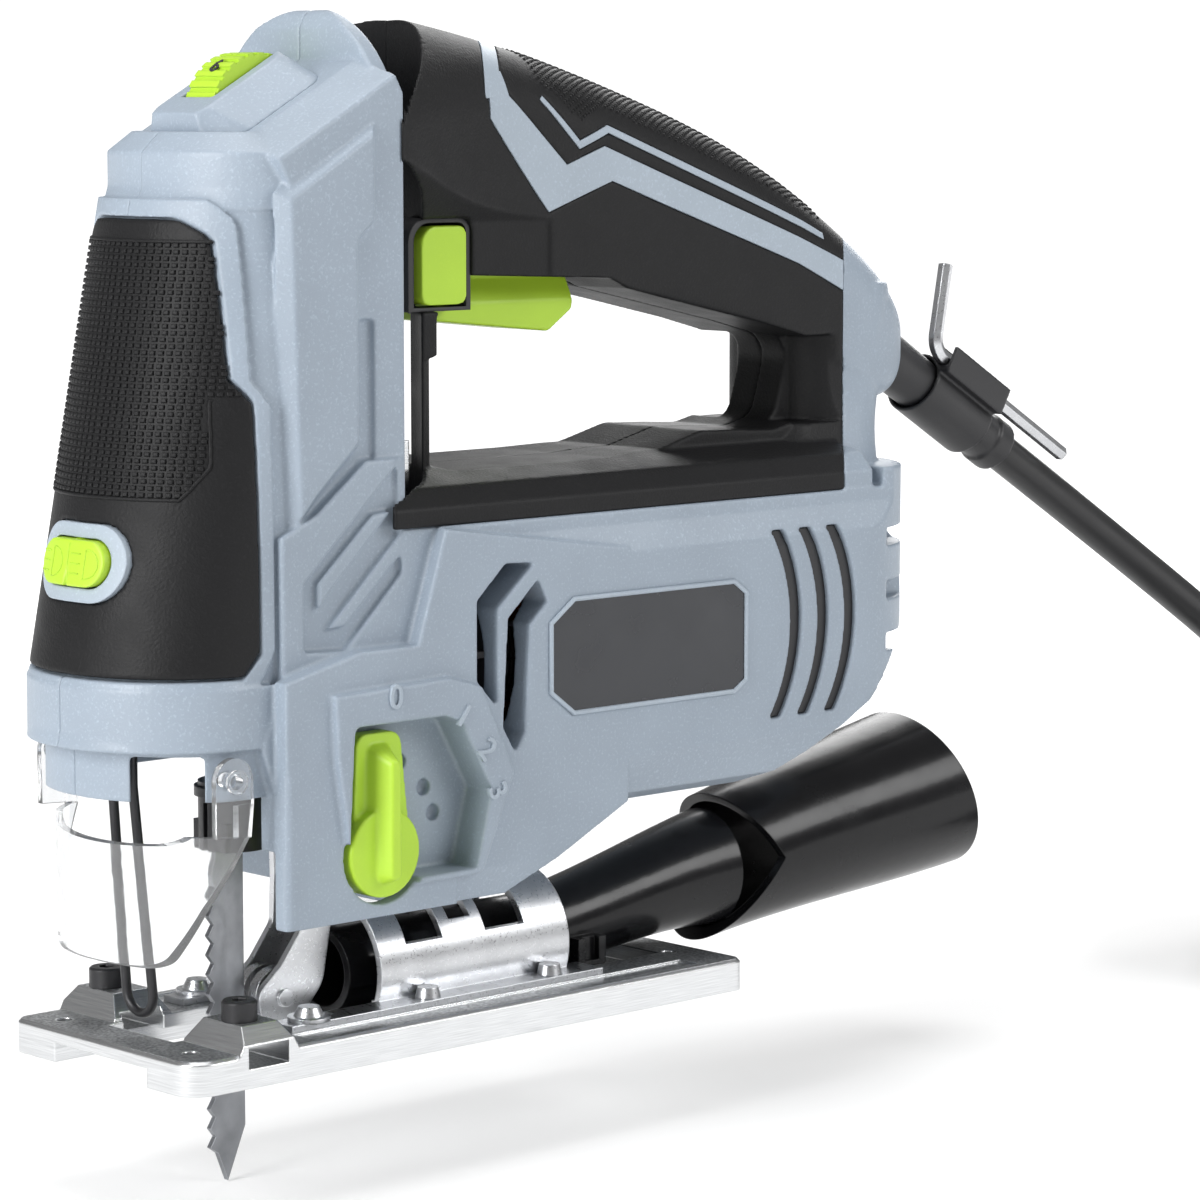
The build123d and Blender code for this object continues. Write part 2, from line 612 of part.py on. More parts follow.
def island_form():
    """The raised island on the ramp: sloping flanks and a clipped front."""
    foot = outline([(0, -9), (7, -15.5, 3), (30, -15.5, 5), (30, 15.5, 5), (7, 15.5, 3), (0, 9)])
    top = outline([(2.5, -7), (5, -8, 2), (28.5, -8, 5), (28.5, 8, 5), (5, 8, 2), (2.5, 7)])
    angle = math.radians(RAMP_SLOPE)
    along = Vector(math.cos(angle), 0, math.sin(angle))
    away = Vector(-math.sin(angle), 0, math.cos(angle))
    start = Vector(RAMP_X - 5.5, 0, RAMP_Z - 3.4)
    low = Plane(origin=start, x_dir=along, z_dir=away)
    return loft([low * foot, low.offset(ISLAND_HEIGHT) * top])


def dial_window():
    angle = math.radians(RAMP_SLOPE)
    centre = Vector(DIAL_X, 0, DIAL_Z) + Vector(-math.sin(angle), 0, math.cos(angle)) * 8
    plane = Plane(origin=centre, x_dir=(math.cos(angle), 0, math.sin(angle)), z_dir=(-math.sin(angle), 0, math.cos(angle)))
    return extrude(plane * Pos(1.0, 0) * Rectangle(20.5, 2 * DIAL_HALF + 0.9), amount=14, both=True)


def make_dial_island():
    return island_form() - dial_window() - rod_y(DIAL_R + 0.6, -DIAL_HALF - 0.5, DIAL_HALF + 0.5, DIAL_X, DIAL_Z)


def make_speed_dial():
    wheel = rod_y(DIAL_R, -DIAL_HALF, DIAL_HALF, DIAL_X, DIAL_Z)
    teeth = 30
    for k in range(teeth):
        angle = 360 / teeth * k
        notch = Pos(DIAL_R, 0, 0) * Box(1.0, 2 * DIAL_HALF + 1, 1.1)
        flat_tooth = k % 10 in (4, 5, 6)
        if not flat_tooth:
            wheel -= Pos(DIAL_X, 0, DIAL_Z) * Rot(0, angle, 0) * notch
    return wheel + rod_y(2.5, -7.8, 7.8, DIAL_X, DIAL_Z)


# ---------------------------------------------------------------- trigger, lock button, inlays
def make_trigger():
    """A long trigger with sloping shoulders and a round lower front corner."""
    across = outline([(-9, 140), (-9, 151), (-6.6, 156), (-6.6, 160), (6.6, 160), (6.6, 156), (9, 151), (9, 140)])
    side = outline([(4.2, 160), (44.1, 160), (44.1, 149.1, 1.5), (37.2, 144.4, 2), (4.2, 147.7)])
    return cross_prism(across, 4, 45) & side_prism(side, -12, 12)


LOCK_TRAVEL = 3.0


def make_lock_button():
    side = outline([(-5.4, 151.5, 2), (-5.4, 167.6, 4), (6.7, 167.6, 2), (6.7, 151.5, 2)])
    cap = side_prism(side, -17.4, -13.0)
    return cap + rod_y(3.0, -13.0, -12.9 + 0.2, 0.6, 159.5)


def make_lock_ring():
    """The dark sleeve that lines the lock button's recess."""
    side = outline([(-8.4, 150.2), (-8.4, 169.2, 5), (8.4, 169.2, 3), (8.4, 150.2)])
    inner = outline([(-6.9, 151.0), (-6.9, 168.2, 4), (7.2, 168.2, 2), (7.2, 151.0)])
    sleeve = side_prism(side, -16.6, -9.6) - side_prism(inner, -20, -9.7 + 0.9)
    return sleeve


def make_badge():
    return side_prism(badge_outline(0.1), -BODY_HALF - 0.1, -BODY_HALF + BADGE_DEPTH)


# ---------------------------------------------------------------- motor
STATOR_X = (17.0, 61.0)
CORE_X = (19.0, 59.0)
CORE_R = 15.5


def ring_x(outer, inner, x_low, x_high, z=None):
    height = MOTOR_Z if z is None else z
    return rod_x(outer, x_low, x_high, 0, height) - rod_x(inner, x_low - 1, x_high + 1, 0, height)


def make_stator():
    ring = ring_x(MOTOR_BAY_R, CORE_R + 0.6, *STATOR_X)
    slot = block(STATOR_X[0] - 1, STATOR_X[1] + 1, 12, 26, MOTOR_Z - 7, MOTOR_Z + 7)
    return ring - slot - mirrored(slot)


def make_windings():
    """The field coils' end turns, above and below the armature at both ends of the stator."""
    ends = ring_x(25.5, 18.0, STATOR_X[0] - 7, STATOR_X[0]) + ring_x(25.5, 18.0, STATOR_X[1], STATOR_X[1] + 7)
    return ends - block(0, 80, -40, 40, MOTOR_Z - 9, MOTOR_Z + 9)


def toothed_disc(tip, root, teeth, x_low, x_high, z):
    """A disc with flat-topped teeth all round, its first tooth pointing up."""
    disc = rod_x(root, x_low, x_high, 0, z)
    step = 360 / teeth
    width = 0.5 * 2 * math.pi * tip / teeth
    tooth = Box(x_high - x_low, width, tip - root + 0.6)
    solids = [Pos((x_low + x_high) / 2, 0, z) * Rot(k * step, 0, 0) * Pos(0, 0, (tip + root - 0.6) / 2) * tooth
              for k in range(teeth)]
    return disc.fuse(*solids)


TOOTH_RISE = 0.6


def make_armature_shaft():
    shaft = rod_x(SHAFT_R, -13.2, 96.5, 0, MOTOR_Z)
    pinion = toothed_disc(PINION_R + 0.1, PINION_R - TOOTH_RISE, PINION_TEETH, -23, -13.2, MOTOR_Z)
    return shaft + pinion


def make_armature_core():
    core = rod_x(CORE_R, *CORE_X, 0, MOTOR_Z) - rod_x(SHAFT_R, 0, 100, 0, MOTOR_Z)
    slots = [Pos(39, 0, MOTOR_Z) * Rot(k * 30, 0, 0) * Pos(0, 0, CORE_R - 1.0) * Box(60, 1.6, 4) for k in range(12)]
    return core - group(slots)


def make_armature_coils():
    coils = ring_x(13.4, SHAFT_R, CORE_X[0] - 6, CORE_X[0]) + ring_x(13.4, SHAFT_R, CORE_X[1], CORE_X[1] + 8)
    return coils


def make_commutator():
    ring = ring_x(11, SHAFT_R, 70, 84)
    gaps = [Pos(77, 0, MOTOR_Z) * Rot(k * 15, 0, 0) * Pos(0, 0, 11) * Box(20, 0.5, 1.4) for k in range(24)]
    return ring - group(gaps)


def make_fan():
    hub = ring_x(7.5, SHAFT_R, -3, 8) + ring_x(24, 7, 6.4, 8)
    blades = []
    for k in range(9):
        blade = Rot(k * 40, 0, 0) * Pos(1.75, 0, 15.2) * Rot(0, 0, 0) * Rot(12, 0, 0) * Box(9.5, 1.4, 16.5)
        blades.append(Pos(0, 0, MOTOR_Z) * blade)
    return hub.fuse(*blades)


def ball_bearing(x_low, x_high):
    """A sealed bearing: one ring with a groove in each face, where its shields lie."""
    ring = ring_x(BEARING_R, SHAFT_R + SHAFT_GAP, x_low, x_high)
    shield = ring_x(BEARING_R - 1.6, SHAFT_R + 1.7, 0, 0.5, 0)
    return ring - Pos(x_low - 0.1, 0, MOTOR_Z) * shield - Pos(x_high - 0.4, 0, MOTOR_Z) * shield


def gear_plate_room(shorten):
    """A plate across the head, narrower where the handle begins."""
    across = outline([(-24, 64), (24, 64), (24, 104), (15, 104), (15, 124), (-15, 124), (-15, 104), (-24, 104)])
    return cross_prism(across, -14, -5 + shorten)


def make_gear_plate():
    plate = gear_plate_room(-2)
    plate -= rod_x(BEARING_R, -20, 0, 0, MOTOR_Z)
    return plate + rod_x(SHAFT_R, -23.6, -7, 0, GEAR_Z)


def make_drive_gear():
    gear = toothed_disc(GEAR_R - 0.4, GEAR_R - 0.4 - TOOTH_RISE, GEAR_TEETH, -22, -16, GEAR_Z)
    gear -= rod_x(17.5, -18, -15, 0, GEAR_Z) - rod_x(8, -19, -14, 0, GEAR_Z)
    gear -= rod_x(SHAFT_R + SHAFT_GAP, -30, 0, 0, GEAR_Z)
    return gear + rod_x(3.0, -26.6, -22, STROKE / 2, GEAR_Z)


def make_brush_holder():
    sleeve = block(73, 81, 12.0, 28.6, MOTOR_Z - 5, MOTOR_Z + 5) - block(74, 80, 11, 26, MOTOR_Z - 3.5, MOTOR_Z + 3.5)
    sleeve &= rod_x(MOTOR_BAY_R, 60, 90, 0, MOTOR_Z)
    return sleeve


def make_brush():
    return block(74, 80, 11.35, 22, MOTOR_Z - 3.5, MOTOR_Z + 3.5)


# ---------------------------------------------------------------- plunger, blade, guide fork
def make_plunger():
    rod = rod_z(SHAFT_R, 52, 158, BLADE_X, 0)
    yoke = block(-44, -27.2, -14.5, 14.5, GEAR_Z - 7, GEAR_Z + 7)
    slot = block(-33, -27, -12.6, 12.6, GEAR_Z - 3.4, GEAR_Z + 3.4)
    return rod + yoke - slot


def make_bush(z_low, z_high):
    return rod_z(BUSH_R, z_low, z_high, BLADE_X, 0) - rod_z(SHAFT_R + SHAFT_GAP, z_low - 1, z_high + 1, BLADE_X, 0)


def make_blade_holder():
    """A clamp sleeve round the plunger's end with the blade's slot below it."""
    body = rod_z(7.0, 42, 56, BLADE_X - 2, 0) + block(-48, -36, -5.2, 5.2, 42, 48)
    body -= rod_z(SHAFT_R, 52, 60, BLADE_X, 0)
    body -= block(-49.2, -39.8, -0.7, 0.7, 40, 51.8)
    ring = rod_z(7.8, 53, 55, BLADE_X - 2, 0) - rod_z(6, 50, 60, BLADE_X - 2, 0)
    return body + ring


def make_blade():
    """A wood-cutting blade with a row of equal teeth and a slanted tip."""
    pitch, depth = 4.0, 1.4
    front = BLADE_X - BLADE_WIDTH
    points = [(BLADE_X - 1.2, 51.8), (BLADE_X, 41), (BLADE_X, -16), (BLADE_X - 4.6, BLADE_TIP_Z), (front + 1, -21)]
    z = -20.0
    while z < 34:
        points += [(front - 1, z + 0.4), (front - 1 + depth, z + pitch - 1.4)]
        z += pitch
    points += [(front, 37), (front + 1.2, 42), (front + 1.2, 51.8)]
    return side_prism(Polygon(*points, align=None), -BLADE_THICK / 2, BLADE_THICK / 2)


ROLLER_X, ROLLER_Z, ROLLER_R = -33.2, 10.3, 6.0


def make_fork():
    """The bent arm that carries the blade's guide roller."""
    side = outline([
        (-22, 52, 3), (-28.6, 52, 3), (-28.2, 34), (-28.6, 24, 3), (-34, 17, 3), (-40, 12, 4), (-39, 5.0, 4), (-30, 4.4, 4),
        (-23, 12, 8), (-20.5, 26, 6)])
    plate = side_prism(side, -5.4, -4.0)
    plate += side_prism(side, 4.0, 5.4)
    web = side_prism(outline([(-22.4, 50), (-28, 50), (-27.6, 34), (-22, 30)]), -4.2, 4.2)
    fork = plate + web
    fork -= rod_y(2.5 + SHAFT_GAP, -10, 10, FORK_X, FORK_Z)
    return fork + rod_y(1.9, -6.2, 6.2, ROLLER_X, ROLLER_Z)


def make_fork_pin():
    return rod_y(2.5, -8, 8, FORK_X, FORK_Z)


def make_roller():
    wheel = rod_y(ROLLER_R, -3.4, 3.4, ROLLER_X, ROLLER_Z)
    groove = rod_y(ROLLER_R + 1, -0.9, 0.9, ROLLER_X, ROLLER_Z) - rod_y(ROLLER_R - 1.5, -2, 2, ROLLER_X, ROLLER_Z)
    return wheel - groove - rod_y(1.9 + SHAFT_GAP, -10, 10, ROLLER_X, ROLLER_Z)


# ---------------------------------------------------------------- wire guard and dust guard
WIRE_R = 1.0
WIRE_TOP_X, WIRE_TOP_Y = -69.6, 3.4
WIRE_FOOT_X, WIRE_FOOT_Y = -66.0, 4.35
WIRE_FOOT_Z = 15.4


def make_wire_guard():
    """A bent wire in front of the blade: two legs joined by a round foot."""
    left_top, left_bend = Vector(WIRE_TOP_X, -WIRE_TOP_Y, 74), Vector(WIRE_TOP_X, -WIRE_TOP_Y, 58)
    left_foot = Vector(WIRE_FOOT_X, -WIRE_FOOT_Y, WIRE_FOOT_Z)
    flip = lambda v: Vector(v.X, -v.Y, v.Z)
    bottom = Vector(WIRE_FOOT_X + 0.3, 0, WIRE_FOOT_Z - WIRE_FOOT_Y)
    leg = FilletPolyline(left_top, left_bend, left_foot, radius=8)
    arc = ThreePointArc(left_foot, bottom, flip(left_foot))
    other = FilletPolyline(flip(left_foot), flip(left_bend), flip(left_top), radius=8)
    pieces = [sweep(Plane(origin=path @ 0, z_dir=path % 0) * Circle(WIRE_R), path=path) for path in (leg, arc, other)]
    return pieces[0] + pieces[1] + pieces[2]


GUARD_X, GUARD_Z = -64.5, 61.4   # the clear guard's pivot
GUARD_WALL = 1.5


def make_dust_guard():
    """The clear shield in front of the blade, with an ear on each side."""
    shell = extrude(nose_section(23.5, -77, 29.6, 20.5, -50), amount=33, dir=(0, 0, 1))
    shell -= extrude(nose_section(20, -77 + GUARD_WALL, 29.6 - GUARD_WALL, 20.5 - GUARD_WALL, -40), amount=40, dir=(0, 0, 1))
    side = outline([(-80, 23.5), (-72.5, 23.5, 4), (-67.5, 36, 12), (-60.5, 50), (-59.6, 57), (-67, 57), (-68.5, 51.5, 3),
                    (-71, 48.5, 6), (-80, 47)])
    shell &= side_prism(side, -40, 40)
    shell -= block(-80, -55, -27.6, 27.6, 50, 60)
    ear_side = outline([(-69, 50.5), (-60.5, 50), (-59.8, 57), (-59.9, 62), (-69.1, 62)])
    ear = side_prism(ear_side, -29.6, -28.1) + rod_y(4.6, -29.6, -28.1, GUARD_X, GUARD_Z)
    ear -= rod_y(1.5 + SHAFT_GAP, -40, 0, GUARD_X, GUARD_Z)
    return shell + ear + mirrored(ear)


def make_guard_pins():
    pin = rod_y(1.5, -30.4, -25.6, GUARD_X, GUARD_Z) + rod_y(2.4, -30.9, -29.9, GUARD_X, GUARD_Z)
    return group([pin, mirrored(pin)])


# ---------------------------------------------------------------- stroke selector
def make_selector():
    """The orbital stroke lever: a ridged grip on a round hub, its shaft and its cam."""
    hub = rod_y(9.0, -33.5, -27.0, LEVER_X, LEVER_Z)
    side = outline([(-36, 44), (-34.8, 67.6, 3), (-23.4, 67.6, 3), (-20.8, 44), (-28.4, 34.9, 4)])
    arm = side_prism(side, -31.0, -27.0)
    ridge_side = outline([(-33.2, 36.5, 3), (-32.4, 65.6, 2), (-26.2, 65.6, 2), (-25.6, 36.5, 3)])
    ridge_top = outline([(-30.6, 38.5, 1), (-30.4, 62.5, 1), (-28.2, 62.5, 1), (-28.0, 38.5, 1)])
    ridge = loft([Plane.XZ.offset(30.9) * ridge_side, Plane.XZ.offset(36.8) * ridge_top])
    shaft = rod_y(4.0, -27.1, -17.0, LEVER_X, LEVER_Z) + rod_y(6.5, -19.6, -16.0, LEVER_X, LEVER_Z)
    return hub + arm + ridge + shaft


# ---------------------------------------------------------------- sole, bracket and their fasteners
SOLE_OPENING = (-66.0, -22.0, 11.0)      # from x, to x, half width
BOLT_X, BOLT_Y = -58.0, 22.0
FLANGE_TOP = 8.3


def make_sole():
    """The cast plate: thick rim, open front, two bosses with the guide bar's slots under them."""
    x_from, x_to, half = SOLE_OPENING
    end, side = SOLE_LENGTH / 2, SOLE_WIDTH / 2
    rim = outline([(-end, -side, SOLE_CORNER), (end, -side, 3), (end, side, 3), (-end, side, 3)])
    plate = plan_prism(rim, 0, SOLE_THICK)
    plate = chamfer(plate.faces().sort_by(Axis.Z)[-1].edges(), 0.7)
    plate -= block(x_from, x_to, -half, half, -1, SOLE_THICK + 1)
    plate -= block(-80, x_to, -15.4, 15.4, -1, 3.9)
    plate -= block(x_to - 1, 66, -13.2, 13.2, SOLE_SKIN, SOLE_THICK + 1)
    boss_side = outline([(-65, 6), (-64, SOLE_THICK), (-61.5, 12), (-52.5, 12), (-49.5, SOLE_THICK), (-49, 6)])
    boss_across = outline([(11.5, 6), (11.5, 7.5), (15, 12), (27, 12), (30, 8.6), (30, 6)])
    boss = side_prism(boss_side, 10, 31) & cross_prism(boss_across, -70, -40)
    plate += boss + mirrored(boss)
    slot = block(-62, -51.8, 10, 40, 3.9, 8.4)
    plate -= slot + mirrored(slot)
    recess = block(-44, 64, 21.6, 27.2, SOLE_THICK - 0.6, SOLE_THICK + 1)
    plate -= recess + mirrored(recess)
    holes = [rod_z(1.7, -1, 20, x, y) for x, y in ((-69.5, 21), (-69.5, -21), (68, -14), (68, 14))]
    bolts = [rod_z(2.0, 8, 20, BOLT_X, y) for y in (-BOLT_Y, BOLT_Y)]
    screws = [rod_z(2.0, -1, 20, SCREW_SPOT_X, y) for y in (-SCREW_SPOT_Y, SCREW_SPOT_Y)]
    rivets = [rod_z(1.8, -1, 20, x, y) for x in RIVET_X for y in (-RIVET_Y, RIVET_Y)]
    return plate - group(holes + bolts + screws + rivets)


SCREW_SPOT_X, SCREW_SPOT_Y = -37.4, 18.4
RIVET_X, RIVET_Y = (-5.3, 28.8), 18.0


def make_bracket():
    """Sheet metal bent over the dust pipe, with a flange on each side, two windows and the screw's slot."""
    middle = TILT_AXIS_Z
    tube = rod_x(BRACKET_R, BRACKET_FROM, BRACKET_TO, 0, middle)
    tube -= rod_x(BRACKET_R - BRACKET_WALL, BRACKET_FROM - 1, BRACKET_TO + 1, 0, middle)
    foot = SOLE_THICK
    inner = math.sqrt((BRACKET_R - BRACKET_WALL) ** 2 - (middle - foot) ** 2)
    tube &= block(-60, 60, -30, 30, foot, 40)
    flange = block(BRACKET_FROM - 28, BRACKET_TO + 5, inner - 0.2, 21.2, foot, FLANGE_TOP)
    flange -= block(BRACKET_FROM - 30, BRACKET_FROM, 0, 14.4, 0, 20)
    shell = tube + flange + mirrored(flange)
    for x_low, x_high in ((-8.5, 1.6), (13.4, 24.4)):
        window = block(x_low, x_high, -30, 30, 19.4, 26.6)
        shell -= window
    shell -= wedge_x(BEVEL_X - 3, BEVEL_X + 3, 55)
    nicks = [rod_z(2.0, 0, 12, SCREW_SPOT_X, y) for y in (-SCREW_SPOT_Y, SCREW_SPOT_Y)]
    nicks += [rod_z(1.8, 0, 12, x, y) for x in RIVET_X for y in (-RIVET_Y, RIVET_Y)]
    return shell - group(nicks)


BEVEL_X = 7.6                    # the tilt-locking screw


def wedge_x(x_low, x_high, half_angle):
    """A sector about the tilt axis, open upwards, half_angle degrees to each side."""
    reach = 40.0
    angle = math.radians(half_angle)
    tip = (0, TILT_AXIS_Z)
    left = (-reach * math.sin(angle), TILT_AXIS_Z + reach * math.cos(angle))
    right = (reach * math.sin(angle), TILT_AXIS_Z + reach * math.cos(angle))
    return cross_prism(Polygon(tip, left, (0, TILT_AXIS_Z + 2 * reach), right, align=None), x_low, x_high)


def hex_socket(width, z_low, z_high, x, y):
    socket = RegularPolygon(width / 2, 6, major_radius=False)
    return Pos(x, y, z_low) * extrude(socket, amount=z_high - z_low)


def make_clamp_bolts():
    """Two socket-head bolts that hold the parallel guide's bar."""
    bolts = []
    for y in (-BOLT_Y, BOLT_Y):
        bolt = rod_z(3.6, 12, 16.2, BOLT_X, y) + rod_z(2.0, 8.4, 12, BOLT_X, y)
        bolt = chamfer(bolt.edges().filter_by(GeomType.CIRCLE).sort_by(Axis.Z)[-1], 0.4)
        bolts.append(bolt - hex_socket(3.0, 13.8, 18, BOLT_X, y))
    return group(bolts)


def make_sole_screws():
    """The flange's front screws on their washers, and the rivets."""
    solids = []
    for y in (-SCREW_SPOT_Y, SCREW_SPOT_Y):
        washer = rod_z(4.4, FLANGE_TOP, FLANGE_TOP + 0.9, SCREW_SPOT_X, y)
        head = Pos(SCREW_SPOT_X, y, FLANGE_TOP + 0.9) * Cone(3.2, 2.2, 2.0, align=(Align.CENTER, Align.CENTER, Align.MIN))
        solids.append(washer + head + rod_z(2.0, 1.2, FLANGE_TOP, SCREW_SPOT_X, y))
    for x in RIVET_X:
        for y in (-RIVET_Y, RIVET_Y):
            head = Pos(x, y, FLANGE_TOP) * Cone(2.7, 2.2, 2.2, align=(Align.CENTER, Align.CENTER, Align.MIN))
            solids.append(head + rod_z(1.8, 1.2, FLANGE_TOP, x, y))
    return group(solids)


def make_tilt_pad():
    """The curved pad under the chin that the bracket turns against."""
    pad = block(-18, 27, -9, 9, TILT_AXIS_Z + 12, 30.6)
    return pad - rod_x(BRACKET_R + SHAFT_GAP, -30, 40, 0, TILT_AXIS_Z) - rod_z(2.1, 20, 40, BEVEL_X, 0)


def make_bevel_screw():
    """The screw that locks the sole's tilt; its head lies inside the bracket."""
    inner_top = TILT_AXIS_Z + BRACKET_R - BRACKET_WALL
    head = rod_z(4.6, inner_top - 2.9, inner_top - 0.9, BEVEL_X, 0)
    return head + rod_z(2.1, inner_top - 1.5, 42, BEVEL_X, 0) - hex_socket(2.5, 0, inner_top - 1.8, BEVEL_X, 0)


# ---------------------------------------------------------------- dust pipe
PIPE_FROM, PIPE_R, PIPE_Z = -19.0, 9.2, 13.0         # the straight length inside the bracket
PIPE_STATIONS = [(34.0, PIPE_Z, PIPE_R), (52.0, 15.4, 9.8), (68.0, 18.2, 10.7), (92.0, 21.2, 13.2)]
PIPE_WALL = 1.8
MOUTH = (161.6, 31.3)
MOUTH_TILT = 21.0
MOUTH_R = 20.0
ADAPTOR_WALL = 2.2
ADAPTOR = [(80.0, 18.6, 14.8, 8.0), (106.0, 23.6, 16.4, 14.0), (138.0, 28.0, 18.6, 18.0)]


def leaning_disc(x, z, radius, tilt):
    angle = math.radians(tilt)
    plane = Plane(origin=(x, 0, z), z_dir=(math.cos(angle), 0, math.sin(angle)))
    return plane * Circle(radius)


def make_dust_pipe():
    """The inner pipe, held in the bracket, with its snap-in block."""
    outer = rod_x(PIPE_R, PIPE_FROM, 34, 0, PIPE_Z) + loft([leaning_disc(x, z, r, 0) for x, z, r in PIPE_STATIONS])
    bore = [(x, z, r - PIPE_WALL) for x, z, r in PIPE_STATIONS]
    end_x, end_z, end_r = bore[-1]
    inner = loft([leaning_disc(x, z, r, 0) for x, z, r in [*bore[:-1], (end_x + 1, end_z, end_r)]])
    inner += rod_x(PIPE_R - PIPE_WALL, PIPE_FROM - 1, 34, 0, PIPE_Z)
    foot = block(34, 50, -9, 9, SOLE_SKIN, 9) + block(36, 42, -13.2, 13.2, SOLE_SKIN, 6.5)
    latch = block(42, 50, -13.0, -9.0, SOLE_SKIN, 13) - block(44, 48, -14, -11.5, 8, 20)
    seat = block(-15, -6, -5, 5, SOLE_SKIN, 8)
    return (outer + foot + latch + seat) - inner


def make_dust_adaptor():
    """The flared hose adaptor pushed over the pipe; its front end is cut slanting."""
    flare = loft([*(leaning_disc(*station) for station in ADAPTOR), leaning_disc(*MOUTH, MOUTH_R, MOUTH_TILT)])
    start = [leaning_disc(x, z, r - ADAPTOR_WALL, t) for x, z, r, t in [(78.0, 18.2, 14.5, 8.0), *ADAPTOR[1:]]]
    end = leaning_disc(MOUTH[0] + 2, MOUTH[1] + 0.8, MOUTH_R + 0.2 - ADAPTOR_WALL, MOUTH_TILT)
    slant = side_prism(outline([(60, 60), (90.5, 42), (102.5, 24), (84, 0), (60, 0)]), -40, 40)
    return flare - loft([*start, end]) - slant


# ---------------------------------------------------------------- cord, boot, hex key
CORD_START = (BOOT_START[0] + BOOT_LENGTH * math.cos(math.radians(BOOT_SLOPE)), 0.0,
              BOOT_START[2] + BOOT_LENGTH * math.sin(math.radians(BOOT_SLOPE)))
CORD_R = CORD_D / 2
COIL_R = 5.0 * CORD_D            # middle of the coil's turns
COIL_CENTRE = (320.0, -33.0)
COIL_WIDE, COIL_HIGH = 2 * CORD_D, 3.3 * CORD_D     # two turns side by side, three and a bit on each other
CORD_ROUTE = [CORD_START, (292.0, 1.5, 50.3), (325.0, 7.0, 30.5), (348.6, -3.3, 17.5), (362.3, -25.2, 8.5),
              (361.4, -51.0, FLOOR_Z + COIL_HIGH)]


def corner_radii(points):
    """The bend radius at each inner corner: 0.45 of the shorter run over tan(half the turn)."""
    radii = []
    for a, b, c in zip(points, points[1:], points[2:]):
        u, v = Vector(*b) - Vector(*a), Vector(*c) - Vector(*b)
        turn = u.get_angle(v)
        radii.append(0.45 * min(u.length, v.length) / math.tan(math.radians(turn) / 2))
    return radii


def make_cord():
    radii = corner_radii(CORD_ROUTE)
    line = FilletPolyline(*CORD_ROUTE, radius=radii)
    print("cord radii", [round(r, 1) for r in radii], "line length", round(line.length, 1))
    cord = sweep(Plane(origin=line @ 0, z_dir=line % 0) * Circle(CORD_R), path=line)
    print("cord volume / (section x length)", round(cord.volume / (math.pi * CORD_R ** 2 * line.length), 4))
    return cord


def make_coil():
    """The put-away length, as one ring with the coil's outer size."""
    low, high = FLOOR_Z, FLOOR_Z + COIL_HIGH
    section = outline([
        (COIL_R - COIL_WIDE / 2, low, 4), (COIL_R + COIL_WIDE / 2, low, 4), (COIL_R + COIL_WIDE / 2, high, 4),
        (COIL_R - COIL_WIDE / 2, high, 4)])
    ring = revolve(Plane.XZ * section, Axis.Z)
    return Pos(COIL_CENTRE[0], COIL_CENTRE[1], 0) * ring


PLUG_TURN = -100.0               # where the last turn leaves the coil, degrees round from +X
PLUG_RELIEF, PLUG_BODY, PLUG_PIN = 42.0, 34.0, 18.0


def make_plug():
    """A generic two-pin plug with its tapered strain relief, lying beside the coil where the last turn leaves it."""
    height = 9.0
    relief = Pos(PLUG_RELIEF / 2, 0, 0) * Rot(0, 90, 0) * Cone(5.4, 7.5, PLUG_RELIEF)
    body = Pos(PLUG_RELIEF + PLUG_BODY / 2, 0, 0) * Box(PLUG_BODY, 26, 2 * height)
    body = fillet(body.edges().filter_by(Axis.X), 5)
    pin_from = PLUG_RELIEF + PLUG_BODY - 1
    pins = [block(pin_from, pin_from + PLUG_PIN, s - 0.8, s + 0.8, -3.2, 3.2) for s in (-6.35, 6.35)]
    turn = math.radians(PLUG_TURN)
    out = COIL_R + CORD_R
    place = (COIL_CENTRE[0] + out * math.cos(turn), COIL_CENTRE[1] + out * math.sin(turn), FLOOR_Z + height)
    return Pos(*place) * Rot(0, 0, PLUG_TURN - 90) * (relief + body + pins[0] + pins[1])


def make_cord_boot():
    """The rubber sleeve round the cord where it leaves the handle, with two grip rings inside the housing."""
    direction = math.radians(BOOT_SLOPE)
    plane = Plane(origin=BOOT_START, z_dir=(math.cos(direction), 0, math.sin(direction)))
    sleeve = loft([plane.offset(2) * Circle(6.5), plane.offset(BOOT_LENGTH - 5) * Circle(5.7)])
    sleeve += extrude(plane.offset(-7) * Circle(6.9), amount=9.2)
    end = extrude(plane.offset(BOOT_LENGTH - 5.2) * Circle(6.3), amount=5.2)
    return sleeve + end


CLIP_FROM, CLIP_TO = 17.0, 39.0  # along the boot
KEY_SIZE = 3.0
KEY_LIFT = 6.6                   # the key's middle above the cord's axis
KEY_SIDE = -6.6


def boot_plane(along, side, lift):
    """A plane square to the boot: local x is the tool's +Y, local y points away from the cord, upwards."""
    angle = math.radians(BOOT_SLOPE)
    forward = Vector(math.cos(angle), 0, math.sin(angle))
    up = Vector(-math.sin(angle), 0, math.cos(angle))
    origin = Vector(*BOOT_START) + forward * along + Vector(0, side, 0) + up * lift
    return Plane(origin=origin, x_dir=(0, 1, 0), z_dir=forward)


def make_key_clip():
    """The open clip on the boot that stores the hex key."""
    plane = boot_plane(CLIP_FROM, 0, 0)
    ring = Circle(7.5) - Circle(6.6)
    cheek = Pos(KEY_SIDE, KEY_LIFT) * Rectangle(5.8, 6.6)
    gap = Pos(KEY_SIDE, KEY_LIFT + 2.0) * Rectangle(KEY_SIZE + 0.7, KEY_SIZE + 4.1)
    section = ring + cheek - gap - Circle(6.6)
    return extrude(plane * section, amount=CLIP_TO - CLIP_FROM)


